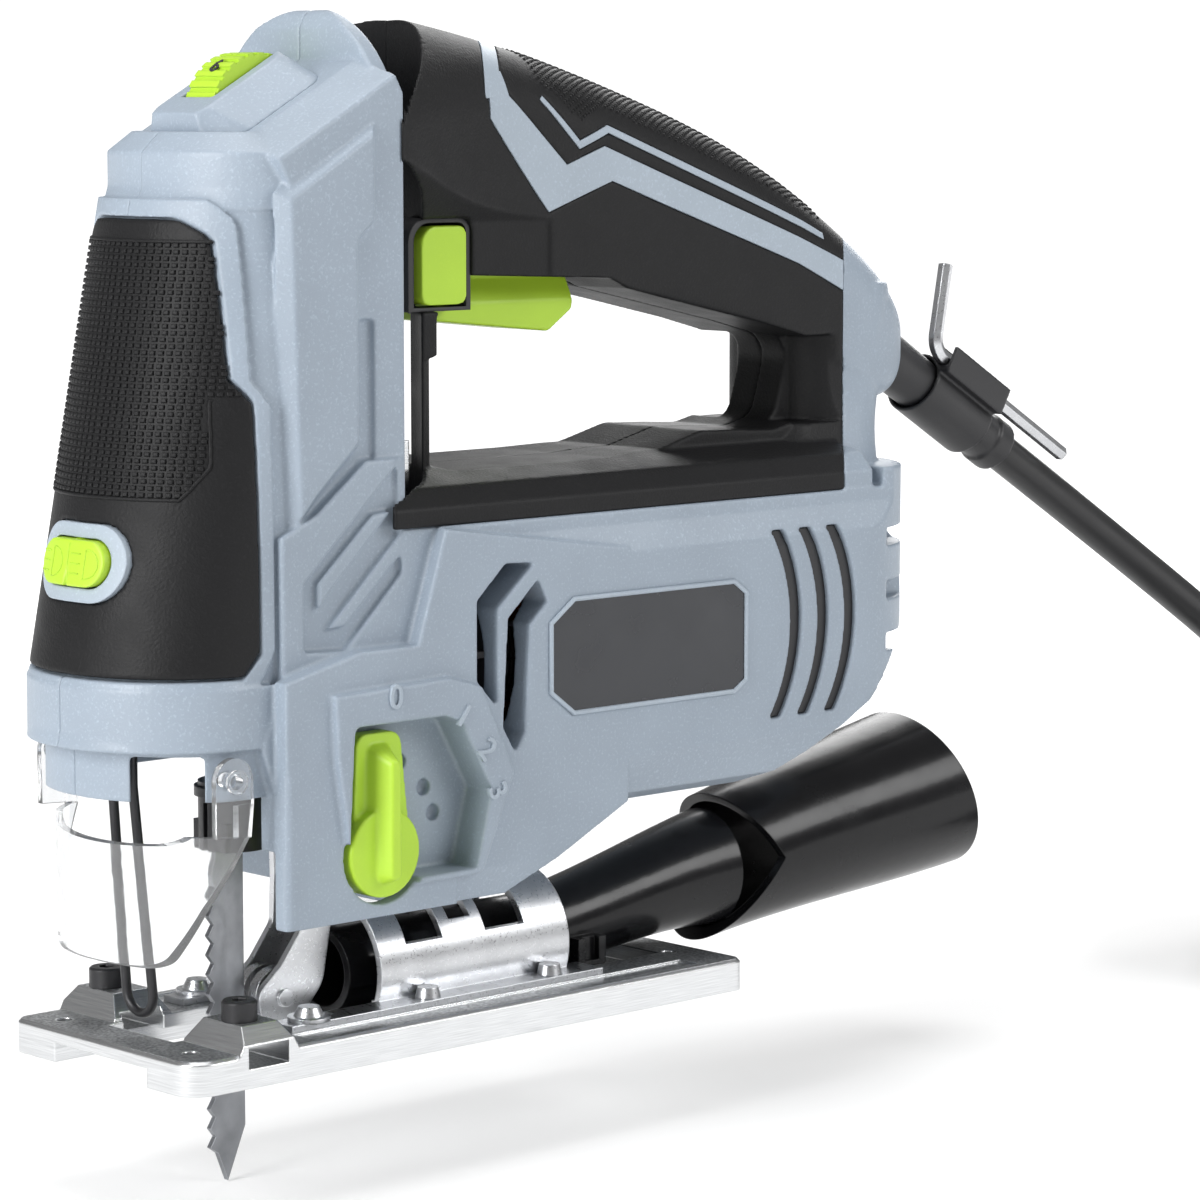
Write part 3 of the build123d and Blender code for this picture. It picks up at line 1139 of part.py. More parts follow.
def make_hex_key():
    """An L-shaped 3 mm key: the long leg along the cord, the short one standing up."""
    start = boot_plane(13.0, KEY_SIDE, KEY_LIFT)
    end = boot_plane(66.0, KEY_SIDE, KEY_LIFT)
    tip = start.origin + Vector(6.0, 2.0, 19.5)
    path = FilletPolyline(tip, start.origin, end.origin, radius=4.5)
    profile = Plane(origin=path @ 1, z_dir=(path % 1), x_dir=(0, 1, 0)) * RegularPolygon(KEY_SIZE / 2, 6, major_radius=False)
    return sweep(profile, path=path)


# ---------------------------------------------------------------- electrical pieces
def make_switch_body():
    case = block(9, 51, -12, 12, 167, 186)
    return case + block(20, 26, -4, 4, 165.6, 167)


def make_speed_board():
    board = block(-48, -26, -18, 18, 174.2, 176)
    parts = [block(-46, -38, -14, -7, 171, 174.2), rod_z(4, 164, 174.2, -32, 12), rod_z(3, 168, 174.2, -30, -12),
             block(-47, -39, 8, 13, 160, 174.2)]
    return board.fuse(*parts)


# ---------------------------------------------------------------- all nodes
def largest(shape):
    return max(shape.solids(), key=lambda solid: solid.volume)


def build_nodes():
    grey, black, stripe, accent = build_housing()
    for name, shape in (("housing", grey), ("handle", black)):
        left = largest(left_half(shape))
        node(name + "_left", left)
        node(name + "_right", largest(shape - block(-300, 400, -200, 0, -200, 400)))
    node("stripe_left", left_half(stripe))
    node("stripe_right", stripe - block(-300, 400, -200, 0, -200, 400))
    node("accent_lines", accent)
    node("front_grip", make_front_grip())
    node("light_bezel", make_light_bezel())
    node("light_switch", make_light_switch())
    node("led_lamp", make_lamp())
    node("dial_bezel", make_dial_island())
    node("speed_dial", make_speed_dial())
    node("lock_ring", make_lock_ring())
    node("lock_button", make_lock_button())
    node("trigger", make_trigger())
    node("badge_left", make_badge())
    node("badge_right", mirrored(make_badge()))
    node("housing_screws", make_housing_screws())
    node("switch_body", make_switch_body())
    node("speed_board", make_speed_board())
    node("stator", make_stator())
    node("stator_windings", make_windings())
    node("armature_shaft", make_armature_shaft())
    node("armature_core", make_armature_core())
    node("armature_coils", make_armature_coils())
    node("commutator", make_commutator())
    node("fan", make_fan())
    node("front_bearing", ball_bearing(-14, -7))
    node("rear_bearing", ball_bearing(*BULKHEAD_X))
    node("gear_plate", make_gear_plate())
    node("drive_gear", make_drive_gear())
    holder, brush = make_brush_holder(), make_brush()
    node("brush_holders", group([holder, mirrored(holder)]))
    node("carbon_brushes", group([brush, mirrored(brush)]))
    node("plunger", make_plunger())
    node("plunger_bushes", group([make_bush(66, 76), make_bush(143, 151)]))
    node("blade_holder", make_blade_holder())
    node("blade", make_blade())
    node("guide_fork", make_fork())
    node("fork_pin", make_fork_pin())
    node("guide_roller", make_roller())
    node("wire_guard", make_wire_guard())
    node("dust_guard", make_dust_guard())
    node("guard_pins", make_guard_pins())
    node("selector", make_selector())
    node("sole_plate", make_sole())
    node("sole_bracket", make_bracket())
    node("clamp_bolts", make_clamp_bolts())
    node("sole_screws", make_sole_screws())
    node("tilt_pad", make_tilt_pad())
    node("bevel_screw", make_bevel_screw())
    node("dust_pipe", make_dust_pipe())
    node("dust_adaptor", make_dust_adaptor())
    node("cord_boot", make_cord_boot())
    node("key_clip", make_key_clip())
    node("hex_key", make_hex_key())
    node("cord", make_cord())
    node("cord_coil", make_coil())
    node("plug", make_plug())


def export_nodes():
    os.makedirs("parts", exist_ok=True)
    for name, shape in NODES.items():
        shape.label = name
        export_step(shape, os.path.join("parts", name + ".step"))
    print(len(NODES), "nodes")


build_nodes()
export_nodes()
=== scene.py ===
"""The looks of a jigsaw power tool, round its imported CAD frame.

Lengths are metres. The tool's nose points along -X, its left side is -Y and +Z is up.
"""
import json
import math

import bmesh
import bpy
from mathutils import Matrix, Vector
from mathutils.bvhtree import BVHTree
from mathutils.geometry import convex_hull_2d


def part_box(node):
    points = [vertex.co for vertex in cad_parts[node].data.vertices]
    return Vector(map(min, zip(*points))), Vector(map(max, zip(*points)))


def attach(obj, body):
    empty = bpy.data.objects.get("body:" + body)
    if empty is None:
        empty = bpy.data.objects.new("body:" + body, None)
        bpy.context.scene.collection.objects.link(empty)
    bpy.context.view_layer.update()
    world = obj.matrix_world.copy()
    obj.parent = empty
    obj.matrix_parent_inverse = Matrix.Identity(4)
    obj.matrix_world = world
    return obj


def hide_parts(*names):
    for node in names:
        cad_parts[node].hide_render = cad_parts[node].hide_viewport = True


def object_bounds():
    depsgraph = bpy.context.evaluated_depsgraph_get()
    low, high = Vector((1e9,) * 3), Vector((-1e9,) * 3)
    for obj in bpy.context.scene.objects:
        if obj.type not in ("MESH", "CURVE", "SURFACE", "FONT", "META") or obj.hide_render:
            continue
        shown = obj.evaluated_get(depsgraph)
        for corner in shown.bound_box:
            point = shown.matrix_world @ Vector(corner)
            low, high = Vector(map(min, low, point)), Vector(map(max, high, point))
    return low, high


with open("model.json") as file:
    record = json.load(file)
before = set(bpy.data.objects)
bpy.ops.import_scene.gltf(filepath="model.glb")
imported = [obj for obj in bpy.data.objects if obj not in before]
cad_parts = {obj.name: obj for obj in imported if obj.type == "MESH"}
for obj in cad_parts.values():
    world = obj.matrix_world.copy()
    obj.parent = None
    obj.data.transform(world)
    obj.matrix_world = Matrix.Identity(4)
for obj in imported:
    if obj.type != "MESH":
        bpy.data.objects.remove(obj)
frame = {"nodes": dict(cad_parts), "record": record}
cad_low, cad_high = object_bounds()
nodes = frame["nodes"]
body_of_node = {n: b for b, names in frame["record"]["behaviour"]["bodies"].items() for n in names}
slot_of_node = {s["node"]: s["material_slot"] for s in frame["record"]["subparts"]}
MM = 0.001


# ---------------------------------------------------------------- camera, floor and lights
FLOOR_Z = cad_low.z
CAMERA_PLACE = (-0.566676, -0.670885, 0.194048)
CAMERA_LENS = 126.656                # the lens and the sensor's width are millimetres, as Blender has them
CAMERA_SENSOR = 36.0
CAMERA_DOWN = math.radians(6.816)    # below the horizon
CAMERA_TURN = math.radians(-43.068)  # from the view along +Y, towards +X

FLOOR_RADIUS = 40.0
FLOOR_GREY = (0.62, 0.62, 0.62, 1)
FLOOR_GLOW = (0.36, 1.0)             # under the object and far from it, so that the studio looks white
GLOW_FROM, GLOW_TO = 0.45, 1.3       # distances over which the glow grows

LIGHTS_AIM = (0.03, 0.0, 0.09)
LIGHTS = [                           # name, place, width and height, watts
    ("key_left", (-1.25, -0.10, 0.60), (0.5, 1.0), 19.0),
    ("right_fill", (0.80, -1.30, 0.85), (0.9, 0.6), 12.0),
    ("top", (0.05, 0.05, 1.4), (1.0, 0.8), 10.0),
    ("rear_rim", (1.1, 0.7, 0.7), (0.6, 1.0), 8.0),
]
WORLD_LIGHTS, WORLD_SEEN = 0.24, 1.1  # the world's strength as light, and as the background


def make_camera():
    data = bpy.data.cameras.new("camera")
    data.lens = CAMERA_LENS
    data.sensor_width = CAMERA_SENSOR
    data.clip_start = 0.01
    data.clip_end = 50.0
    camera = bpy.data.objects.new("camera", data)
    camera.location = CAMERA_PLACE
    camera.rotation_euler = (math.pi / 2 - CAMERA_DOWN, 0.0, CAMERA_TURN)
    bpy.context.scene.collection.objects.link(camera)
    bpy.context.scene.camera = camera


def make_floor():
    """A white studio floor, just below the lowest point. It glows more away from the object."""
    below = (0, 0, FLOOR_Z - 0.3 * MM)
    bpy.ops.mesh.primitive_circle_add(vertices=96, radius=FLOOR_RADIUS, fill_type="NGON", location=below)
    floor = bpy.context.object
    floor.name = "studio_floor"
    material = bpy.data.materials.new("studio_floor")
    material.use_nodes = True
    tree = material.node_tree
    shader = tree.nodes["Principled BSDF"]
    shader.inputs["Base Color"].default_value = FLOOR_GREY
    shader.inputs["Roughness"].default_value = 0.9
    shader.inputs["Emission Color"].default_value = (1, 1, 1, 1)
    place = tree.nodes.new("ShaderNodeTexCoord")
    distance = tree.nodes.new("ShaderNodeVectorMath")
    distance.operation = "LENGTH"
    glow = tree.nodes.new("ShaderNodeMapRange")
    glow.interpolation_type = "SMOOTHSTEP"
    glow.inputs["From Min"].default_value = GLOW_FROM
    glow.inputs["From Max"].default_value = GLOW_TO
    glow.inputs["To Min"].default_value = FLOOR_GLOW[0]
    glow.inputs["To Max"].default_value = FLOOR_GLOW[1]
    tree.links.new(place.outputs["Object"], distance.inputs[0])
    tree.links.new(distance.outputs["Value"], glow.inputs["Value"])
    tree.links.new(glow.outputs["Result"], shader.inputs["Emission Strength"])
    floor.data.materials.append(material)


def area_light(name, place, size, power):
    data = bpy.data.lights.new(name, "AREA")
    data.shape = "RECTANGLE"
    data.size, data.size_y = size
    data.energy = power
    light = bpy.data.objects.new(name, data)
    light.location = place
    light.rotation_euler = (Vector(LIGHTS_AIM) - Vector(place)).to_track_quat("-Z", "Y").to_euler()
    bpy.context.scene.collection.objects.link(light)


def make_world():
    """A white world that looks brighter behind the object than it lights it."""
    world = bpy.data.worlds.new("studio")
    world.use_nodes = True
    tree = world.node_tree
    background = tree.nodes["Background"]
    seen = tree.nodes.new("ShaderNodeLightPath")
    strength = tree.nodes.new("ShaderNodeMapRange")
    strength.inputs["To Min"].default_value = WORLD_LIGHTS
    strength.inputs["To Max"].default_value = WORLD_SEEN
    tree.links.new(seen.outputs["Is Camera Ray"], strength.inputs["Value"])
    tree.links.new(strength.outputs["Result"], background.inputs["Strength"])
    background.inputs["Color"].default_value = (1.0, 1.0, 1.0, 1)
    bpy.context.scene.world = world
    bpy.context.scene.view_settings.view_transform = "Standard"


# ---------------------------------------------------------------- materials
class Graph:
    """Short calls for wiring one material's nodes. Its patterns lie in the piece's own space, in metres."""

    def __init__(self, name):
        self.material = bpy.data.materials.new(name)
        self.material.use_nodes = True
        self.tree = self.material.node_tree
        self.shader = self.tree.nodes["Principled BSDF"]
        self.place = self.add("ShaderNodeTexCoord").outputs["Object"]

    def add(self, kind, **values):
        made = self.tree.nodes.new(kind)
        for key, value in values.items():
            setattr(made, key, value)
        return made

    def link(self, source, target):
        self.tree.links.new(source, target)

    def scaled(self, stretch):
        mapping = self.add("ShaderNodeMapping")
        mapping.inputs["Scale"].default_value = stretch
        self.link(self.place, mapping.inputs["Vector"])
        return mapping.outputs["Vector"]

    def noise(self, size, detail=2.0, stretch=None):
        made = self.add("ShaderNodeTexNoise")
        made.inputs["Scale"].default_value = 1.0 / size
        made.inputs["Detail"].default_value = detail
        self.link(self.scaled(stretch) if stretch else self.place, made.inputs["Vector"])
        return made.outputs["Fac"]

    def ramp(self, value, low, high, to_low=0.0, to_high=1.0):
        made = self.add("ShaderNodeMapRange")
        for key, number in (("From Min", low), ("From Max", high), ("To Min", to_low), ("To Max", to_high)):
            made.inputs[key].default_value = number
        self.link(value, made.inputs["Value"])
        return made.outputs["Result"]

    def mix(self, amount, first, second):
        made = self.add("ShaderNodeMix", data_type="RGBA")
        self.link(amount, made.inputs["Factor"])
        for socket, colour in ((made.inputs[6], first), (made.inputs[7], second)):
            if hasattr(colour, "links"):
                self.link(colour, socket)
            else:
                socket.default_value = (*colour, 1)
        return made.outputs[2]

    def times(self, first, second):
        made = self.add("ShaderNodeMath", operation="MULTIPLY")
        self.link(first, made.inputs[0])
        self.link(second, made.inputs[1])
        return made.outputs[0]

    def rounded_normal(self, radius):
        made = self.add("ShaderNodeBevel", samples=6)
        made.inputs["Radius"].default_value = radius
        return made.outputs["Normal"]

    def edge_mask(self, radius):
        """One along the edges, where the rounded normal leaves the flat one, and nought on open faces."""
        dot = self.add("ShaderNodeVectorMath", operation="DOT_PRODUCT")
        self.link(self.rounded_normal(radius), dot.inputs[0])
        self.link(self.add("ShaderNodeNewGeometry").outputs["Normal"], dot.inputs[1])
        return self.ramp(dot.outputs["Value"], 0.995, 0.80)

    def bump(self, height, depth, normal=None):
        made = self.add("ShaderNodeBump")
        made.inputs["Strength"].default_value = 1.0
        made.inputs["Distance"].default_value = depth
        self.link(height, made.inputs["Height"])
        if normal is not None:
            self.link(normal, made.inputs["Normal"])
        return made.outputs["Normal"]

    def done(self, colour, roughness, normal, metallic=0.0, **constants):
        shader = self.shader.inputs
        self.link(colour, shader["Base Color"])
        self.link(roughness, shader["Roughness"])
        self.link(normal, shader["Normal"])
        shader["Metallic"].default_value = metallic
        for key, value in constants.items():
            shader[key.replace("_", " ")].default_value = value
        return self.material


def shade(colour, factor):
    return tuple(min(1.0, c * factor) for c in colour)


def moulded(name, colour, roughness, grain=0.45 * MM, depth=0.05 * MM, speckle=0.10, wear=1.25,
            edge=0.5 * MM, **constants):
    """Moulded plastic or rubber: spark-eroded grain, faint mottling, fine pale specks and rubbed edges."""
    g = Graph(name)
    fine = g.noise(grain, 3.0)
    mottle = g.ramp(g.noise(22 * MM, 3.0), 0.3, 0.7)
    base = g.mix(mottle, shade(colour, 0.95), shade(colour, 1.05))
    specks = g.ramp(fine, 0.55, 0.75, 0.0, speckle)
    base = g.mix(specks, base, shade(colour, 2.2))
    patch = g.ramp(g.noise(5 * MM, 4.0), 0.35, 0.65)
    rubbed = g.times(g.edge_mask(edge), patch)
    base = g.mix(rubbed, base, shade(colour, wear))
    gloss = g.ramp(g.noise(9 * MM, 4.0), 0.25, 0.75, roughness - 0.05, roughness + 0.06)
    return g.done(base, gloss, g.bump(fine, depth, g.rounded_normal(edge)), **constants)


def metal(name, colour, roughness, stretch=(1, 1, 1), size=0.5 * MM, depth=0.01 * MM, stain=0.85,
          edge=0.35 * MM, metallic=1.0, **constants):
    """Bare or plated metal: lay of the tool marks, cloudy plating and brighter edges."""
    g = Graph(name)
    marks = g.noise(size, 4.0, stretch)
    cloud = g.ramp(g.noise(7 * MM, 5.0), 0.3, 0.7)
    base = g.mix(cloud, shade(colour, stain), colour)
    base = g.mix(g.edge_mask(edge), base, shade(colour, 1.2))
    gloss = g.ramp(marks, 0.2, 0.8, roughness * 0.75, roughness * 1.35)
    return g.done(base, gloss, g.bump(marks, depth, g.rounded_normal(edge)), metallic, **constants)


def clear(name, tint, roughness):
    """Clear polycarbonate with fine scuffs."""
    g = Graph(name)
    scuffs = g.noise(0.6 * MM, 5.0, (1, 1, 0.15))
    base = g.mix(g.ramp(scuffs, 0.4, 0.8), tint, shade(tint, 0.94))
    gloss = g.ramp(g.noise(4 * MM, 5.0), 0.3, 0.8, roughness, roughness + 0.08)
    return g.done(base, gloss, g.bump(g.noise(6 * MM, 2.0), 0.05 * MM), Transmission_Weight=0.94, IOR=1.42)


def sole_metal():
    """Die-cast aluminium: a dark gritty top, and bright milled sides with fine tool marks."""
    g = Graph("cast_aluminium")
    edge = 0.5 * MM
    grit = g.noise(0.55 * MM, 4.0)
    marks = g.noise(0.5 * MM, 4.0, (0.05, 0.05, 3.0))
    top = g.mix(g.ramp(grit, 0.35, 0.68), (0.20, 0.205, 0.21), (0.56, 0.57, 0.58))
    side = g.mix(g.ramp(marks, 0.3, 0.7), (0.62, 0.63, 0.64), (0.82, 0.83, 0.84))
    split = g.add("ShaderNodeSeparateXYZ")           # the mesh's own normal, so a tilted sole keeps its look
    g.link(g.add("ShaderNodeTexCoord").outputs["Normal"], split.inputs[0])
    upward = g.ramp(split.outputs["Z"], 0.75, 0.95)
    base = g.mix(upward, side, top)
    base = g.mix(g.edge_mask(edge), base, (0.86, 0.87, 0.88))
    rough_top = g.times(grit, upward)
    gloss = g.ramp(upward, 0.0, 1.0, 0.27, 0.48)
    return g.done(base, gloss, g.bump(rough_top, 0.10 * MM, g.rounded_normal(edge)), 1.0)


def striped(name, light, dark, pitch, axis, metallic, roughness):
    """Stacked sheets or wound wire: fine rings square to one axis."""
    g = Graph(name)
    stretch = tuple(1.0 if k == axis else 0.0 for k in range(3))
    wave = g.add("ShaderNodeTexWave", wave_profile="SIN")
    wave.inputs["Scale"].default_value = 1.0 / (2 * math.pi * pitch)
    wave.inputs["Distortion"].default_value = 0.3
    g.link(g.scaled(stretch), wave.inputs["Vector"])
    rings = wave.outputs["Fac"]
    base = g.mix(rings, dark, light)
    base = g.mix(g.ramp(g.noise(3 * MM, 4.0), 0.35, 0.75, 0.0, 0.35), base, shade(dark, 0.8))
    gloss = g.ramp(g.noise(2 * MM, 3.0), 0.3, 0.7, roughness - 0.05, roughness + 0.08)
    return g.done(base, gloss, g.bump(rings, 0.08 * MM), metallic)


GREY = (0.275, 0.325, 0.385)
PALE_GREY = (0.335, 0.39, 0.45)
BLACK = (0.0085, 0.0085, 0.0092)
LIME = (0.40, 0.62, 0.035)


def make_materials():
    return {
        "grey_plastic": moulded("grey_plastic", GREY, 0.42, grain=0.6 * MM, depth=0.075 * MM, speckle=0.20),
        "black_rubber": moulded("black_rubber", BLACK, 0.50, grain=0.6 * MM, depth=0.10 * MM, speckle=0.35,
                                wear=2.0, Specular_IOR_Level=0.22),
        "accent_plastic": moulded("accent_plastic", PALE_GREY, 0.42, grain=0.6 * MM, depth=0.05 * MM,
                                  speckle=0.18),
        "lime_plastic": moulded("lime_plastic", LIME, 0.40, depth=0.02 * MM, speckle=0.05, wear=1.12),
        "dark_plastic": moulded("dark_plastic", (0.018, 0.018, 0.02), 0.42, depth=0.03 * MM, speckle=0.1,
                                wear=1.8),
        "badge_plastic": moulded("badge_plastic", (0.022, 0.024, 0.029), 0.24, grain=2 * MM, depth=0.01 * MM,
                                 speckle=0.02, wear=2.2),
        "gloss_black": moulded("gloss_black", (0.007, 0.007, 0.008), 0.24, grain=4 * MM, depth=0.02 * MM,
                               speckle=0.02, wear=1.5, Specular_IOR_Level=0.24, Coat_Weight=0.12,
                               Coat_Roughness=0.12),
        "clear_plastic": clear("clear_plastic", (0.97, 0.98, 0.99), 0.03),
        "cast_aluminium": sole_metal(),
        "zinc_steel": metal("zinc_steel", (0.70, 0.71, 0.73), 0.30, (1, 0.15, 1)),
        "steel": metal("steel", (0.60, 0.60, 0.61), 0.28, (1, 1, 0.1)),
        "blade_steel": metal("blade_steel", (0.33, 0.34, 0.36), 0.36, (0.3, 1, 0.12), stain=0.7),
        "black_oxide": metal("black_oxide", (0.045, 0.045, 0.048), 0.38, metallic=0.6, stain=0.7),
        "lamination": striped("lamination", (0.42, 0.43, 0.45), (0.14, 0.14, 0.15), 0.6 * MM, 0, 1.0, 0.42),
        "copper": striped("copper", (0.72, 0.30, 0.12), (0.30, 0.09, 0.03), 0.8 * MM, 1, 1.0, 0.32),
        "carbon": moulded("carbon", (0.03, 0.03, 0.03), 0.55, speckle=0.3),
        "circuit_board": moulded("circuit_board", (0.03, 0.16, 0.06), 0.35, speckle=0.05),
        "lamp_clear": clear("lamp_clear", (0.95, 0.96, 0.98), 0.08),
        "fan_plastic": moulded("fan_plastic", (0.035, 0.035, 0.038), 0.45),
        "bronze": metal("bronze", (0.62, 0.42, 0.20), 0.42, stain=0.75),
        "cord_pvc": moulded("cord_pvc", (0.012, 0.012, 0.013), 0.40, grain=0.8 * MM, depth=0.03 * MM,
                            speckle=0.06, wear=1.5),
    }


def dress(piece, slot):
    piece.data.materials.clear()
    piece.data.materials.append(materials[slot])


# ---------------------------------------------------------------- making pieces
def add_piece(name, mesh, body, slot):
    piece = bpy.data.objects.new(name, mesh)
    bpy.context.scene.collection.objects.link(piece)
    dress(piece, slot)
    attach(piece, body)
    return piece


def mesh_from(name, bm):
    mesh = bpy.data.meshes.new(name)
    bm.to_mesh(mesh)
    bm.free()
    return mesh


def softened(node, voxel, rounds, keep):
    """A moulded copy of a CAD solid: remeshed, with its edges melted round and its faces kept."""
    piece = add_piece(node + "_moulded", nodes[node].data.copy(), body_of_node[node], slot_of_node[node])
    remesh = piece.modifiers.new("remesh", "REMESH")
    remesh.mode = "VOXEL"
    remesh.voxel_size = voxel
    remesh.use_smooth_shade = True
    smooth = piece.modifiers.new("smooth", "SMOOTH")
    smooth.factor = 0.5
    smooth.iterations = rounds
    thin = piece.modifiers.new("thin", "DECIMATE")
    thin.ratio = keep
    graph = bpy.context.evaluated_depsgraph_get()
    final = bpy.data.meshes.new_from_object(piece.evaluated_get(graph))
    piece.modifiers.clear()
    piece.data = final
    for polygon in final.polygons:
        polygon.use_smooth = True
    dress(piece, slot_of_node[node])
    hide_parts(node)


def surface_of(*names):
    """A tree for casting rays on some CAD nodes, at rest."""
    corners, faces = [], []
    for name in names:
        mesh = nodes[name].data
        first = len(corners)
        corners.extend(v.co.copy() for v in mesh.vertices)
        faces.extend(tuple(first + k for k in p.vertices) for p in mesh.polygons)
    return BVHTree.FromPolygons(corners, faces)


STUD_SUNK = 0.15 * MM


def add_stud(bm, place, normal, along, size, height, taper):
    """One stud with sloping sides, sunk a little into the surface at place."""
    across = normal.cross(along).normalized()
    along = across.cross(normal).normalized()
    low, high = [], []
    for u, v in ((-1, -1), (1, -1), (1, 1), (-1, 1)):
        step = along * (u * size[0] / 2) + across * (v * size[1] / 2)
        low.append(bm.verts.new(place + step - normal * STUD_SUNK))
        high.append(bm.verts.new(place + step * taper + normal * height))
    bm.faces.new(high)
    bm.faces.new(list(reversed(low)))
    for k in range(4):
        bm.faces.new((low[k], low[(k + 1) % 4], high[(k + 1) % 4], high[k]))


def tube_along(name, points, radius, body, slot, closed=False):
    """A thin round bead that follows some points."""
    curve = bpy.data.curves.new(name, "CURVE")
    curve.dimensions = "3D"
    spline = curve.splines.new("POLY")
    spline.points.add(len(points) - 1)
    for target, point in zip(spline.points, points):
        target.co = (*point, 1.0)
    spline.use_cyclic_u = closed
    curve.bevel_depth = radius
    curve.bevel_resolution = 2
    curve.use_fill_caps = True
    add_piece(name, curve, body, slot)


# ---------------------------------------------------------------- the front grip's brick pattern
BRICK_LOW, BRICK_HIGH = 117.0 * MM, 165.2 * MM
BRICK_PITCH = (1.85 * MM, 1.30 * MM)
BRICK_SIZE = (1.42 * MM, 0.98 * MM)
BRICK_RISE = 0.42 * MM
BRICK_TAPER = 0.72
BORDER_R = 0.42 * MM
BRICK_SHARE = 0.79                   # of the way round from the middle to the grip's rear edge
CHAMFER_TOP, CHAMFER_BOTTOM = 8.0 * MM, 5.5 * MM
CUT_TOP, CUT_BOTTOM = 0.30, 0.15     # how much of the share the cut corners take
BORDER_OVER, BORDER_UNDER = 0.6 * MM, 0.9 * MM  # from the brick field to its border
ROW_SHIFT = (0.62, 0.5)              # of the pitch, to the first brick of an even and of an odd row
GRIP_CENTRE_X = -62.0 * MM
GRIP_REAR_X = -58.5 * MM
GRIP_RAY_STEP = math.radians(0.4)
GRIP_RAYS = 300
GRIP_RAY_FROM = 80 * MM


def brick_share(z):
    """How far round the brick field reaches at a height; its corners are cut off."""
    top = max(0.0, 1 - (BRICK_HIGH - z) / CHAMFER_TOP)
    bottom = max(0.0, 1 - (z - BRICK_LOW) / CHAMFER_BOTTOM)
    return BRICK_SHARE - CUT_TOP * top - CUT_BOTTOM * bottom


def grip_row(tree, z):
    """Surface points and normals along one level of the grip, from the middle to the field's left edge."""
    found, lengths = [], [0.0]
    for step in range(GRIP_RAYS):
        angle = GRIP_RAY_STEP * step
        out = Vector((-math.cos(angle), -math.sin(angle), 0.0))
        start = Vector((GRIP_CENTRE_X, 0.0, z)) + out * GRIP_RAY_FROM
        place, normal, _, _ = tree.ray_cast(start, -out)
        if place is None or place.x > GRIP_REAR_X:
            break
        if found:
            lengths.append(lengths[-1] + (place - found[-1][0]).length)
        found.append((place, normal))
    reach = lengths[-1] * brick_share(z)
    return [pair for pair, length in zip(found, lengths) if length <= reach]


def spaced(found, pitch, offset):
    """Every pitch along a row of surface points."""
    picked, travelled, due = [], 0.0, offset
    for (last, _), (place, normal) in zip(found, found[1:]):
        travelled += (place - last).length
        if travelled >= due:
            picked.append((place, normal))
            due += pitch
    return picked


def make_grip_bricks():
    """Rows of bricks, each row shifted by about half a brick, inside a raised border."""
    tree = surface_of("front_grip")
    bm = bmesh.new()
    rows = int((BRICK_HIGH - BRICK_LOW) / BRICK_PITCH[1])
    ends = []
    for row in range(rows + 1):
        z = BRICK_LOW + row * BRICK_PITCH[1]
        found = grip_row(tree, z)
        ends.append(found[-1])
        offset = BRICK_PITCH[0] * ROW_SHIFT[row % 2]
        for place, normal in spaced(found[:-4], BRICK_PITCH[0], offset):
            for side in (1, -1):
                at = Vector((place.x, place.y * side, place.z))
                out = Vector((normal.x, normal.y * side, normal.z))
                along = out.cross(Vector((0, 0, 1)))
                add_stud(bm, at, out, along, BRICK_SIZE, BRICK_RISE, BRICK_TAPER)
    add_piece("grip_bricks", mesh_from("grip_bricks", bm), "base", "black_rubber")
    top = grip_row(tree, BRICK_HIGH + BORDER_OVER)
    bottom = grip_row(tree, BRICK_LOW - BORDER_UNDER)
    half = [p for p, _ in bottom] + [p for p, _ in ends] + [p for p, _ in reversed(top)]
    loop = half + [Vector((p.x, -p.y, p.z)) for p in reversed(half)]
    tube_along("grip_border", loop, BORDER_R, "base", "black_rubber", closed=True)


# ---------------------------------------------------------------- the handle's studs
STUD_PITCH = 1.45 * MM
STUD_SIZE = (0.95 * MM, 0.95 * MM)
STUD_HEIGHT = 0.32 * MM
STUD_TAPER = 0.35
STUDS_FROM, STUDS_TO = 29.5 * MM, 116.5 * MM
COLUMN_STEP = 0.62 * STUD_PITCH      # closer than the pitch, because every other column is shifted by half
EDGE_GAP = 0.8 * MM                  # from the studded field's lower edge to the first stud
SPINE_RAY_STEP = math.radians(0.25)
SPINE_RAYS = 400
SPINE_RAY_FROM = 60 * MM
SPINE_Z, SPINE_FALL = 176 * MM, 0.42  # inside the handle, a line that falls towards the rear
TEXTURE_LINE = [(28.5, 196.5), (38.9, 188.0), (46.4, 191.2), (107.5, 169.8), (117.5, 164.8)]  # x, z in mm


def texture_floor(x):
    """The height of the studded field's lower edge in side view. Past the line's ends there is no field."""
    for (x0, z0), (x1, z1) in zip(TEXTURE_LINE, TEXTURE_LINE[1:]):
        if x0 <= x / MM <= x1:
            return (z0 + (z1 - z0) * (x / MM - x0) / (x1 - x0)) * MM
    return math.inf


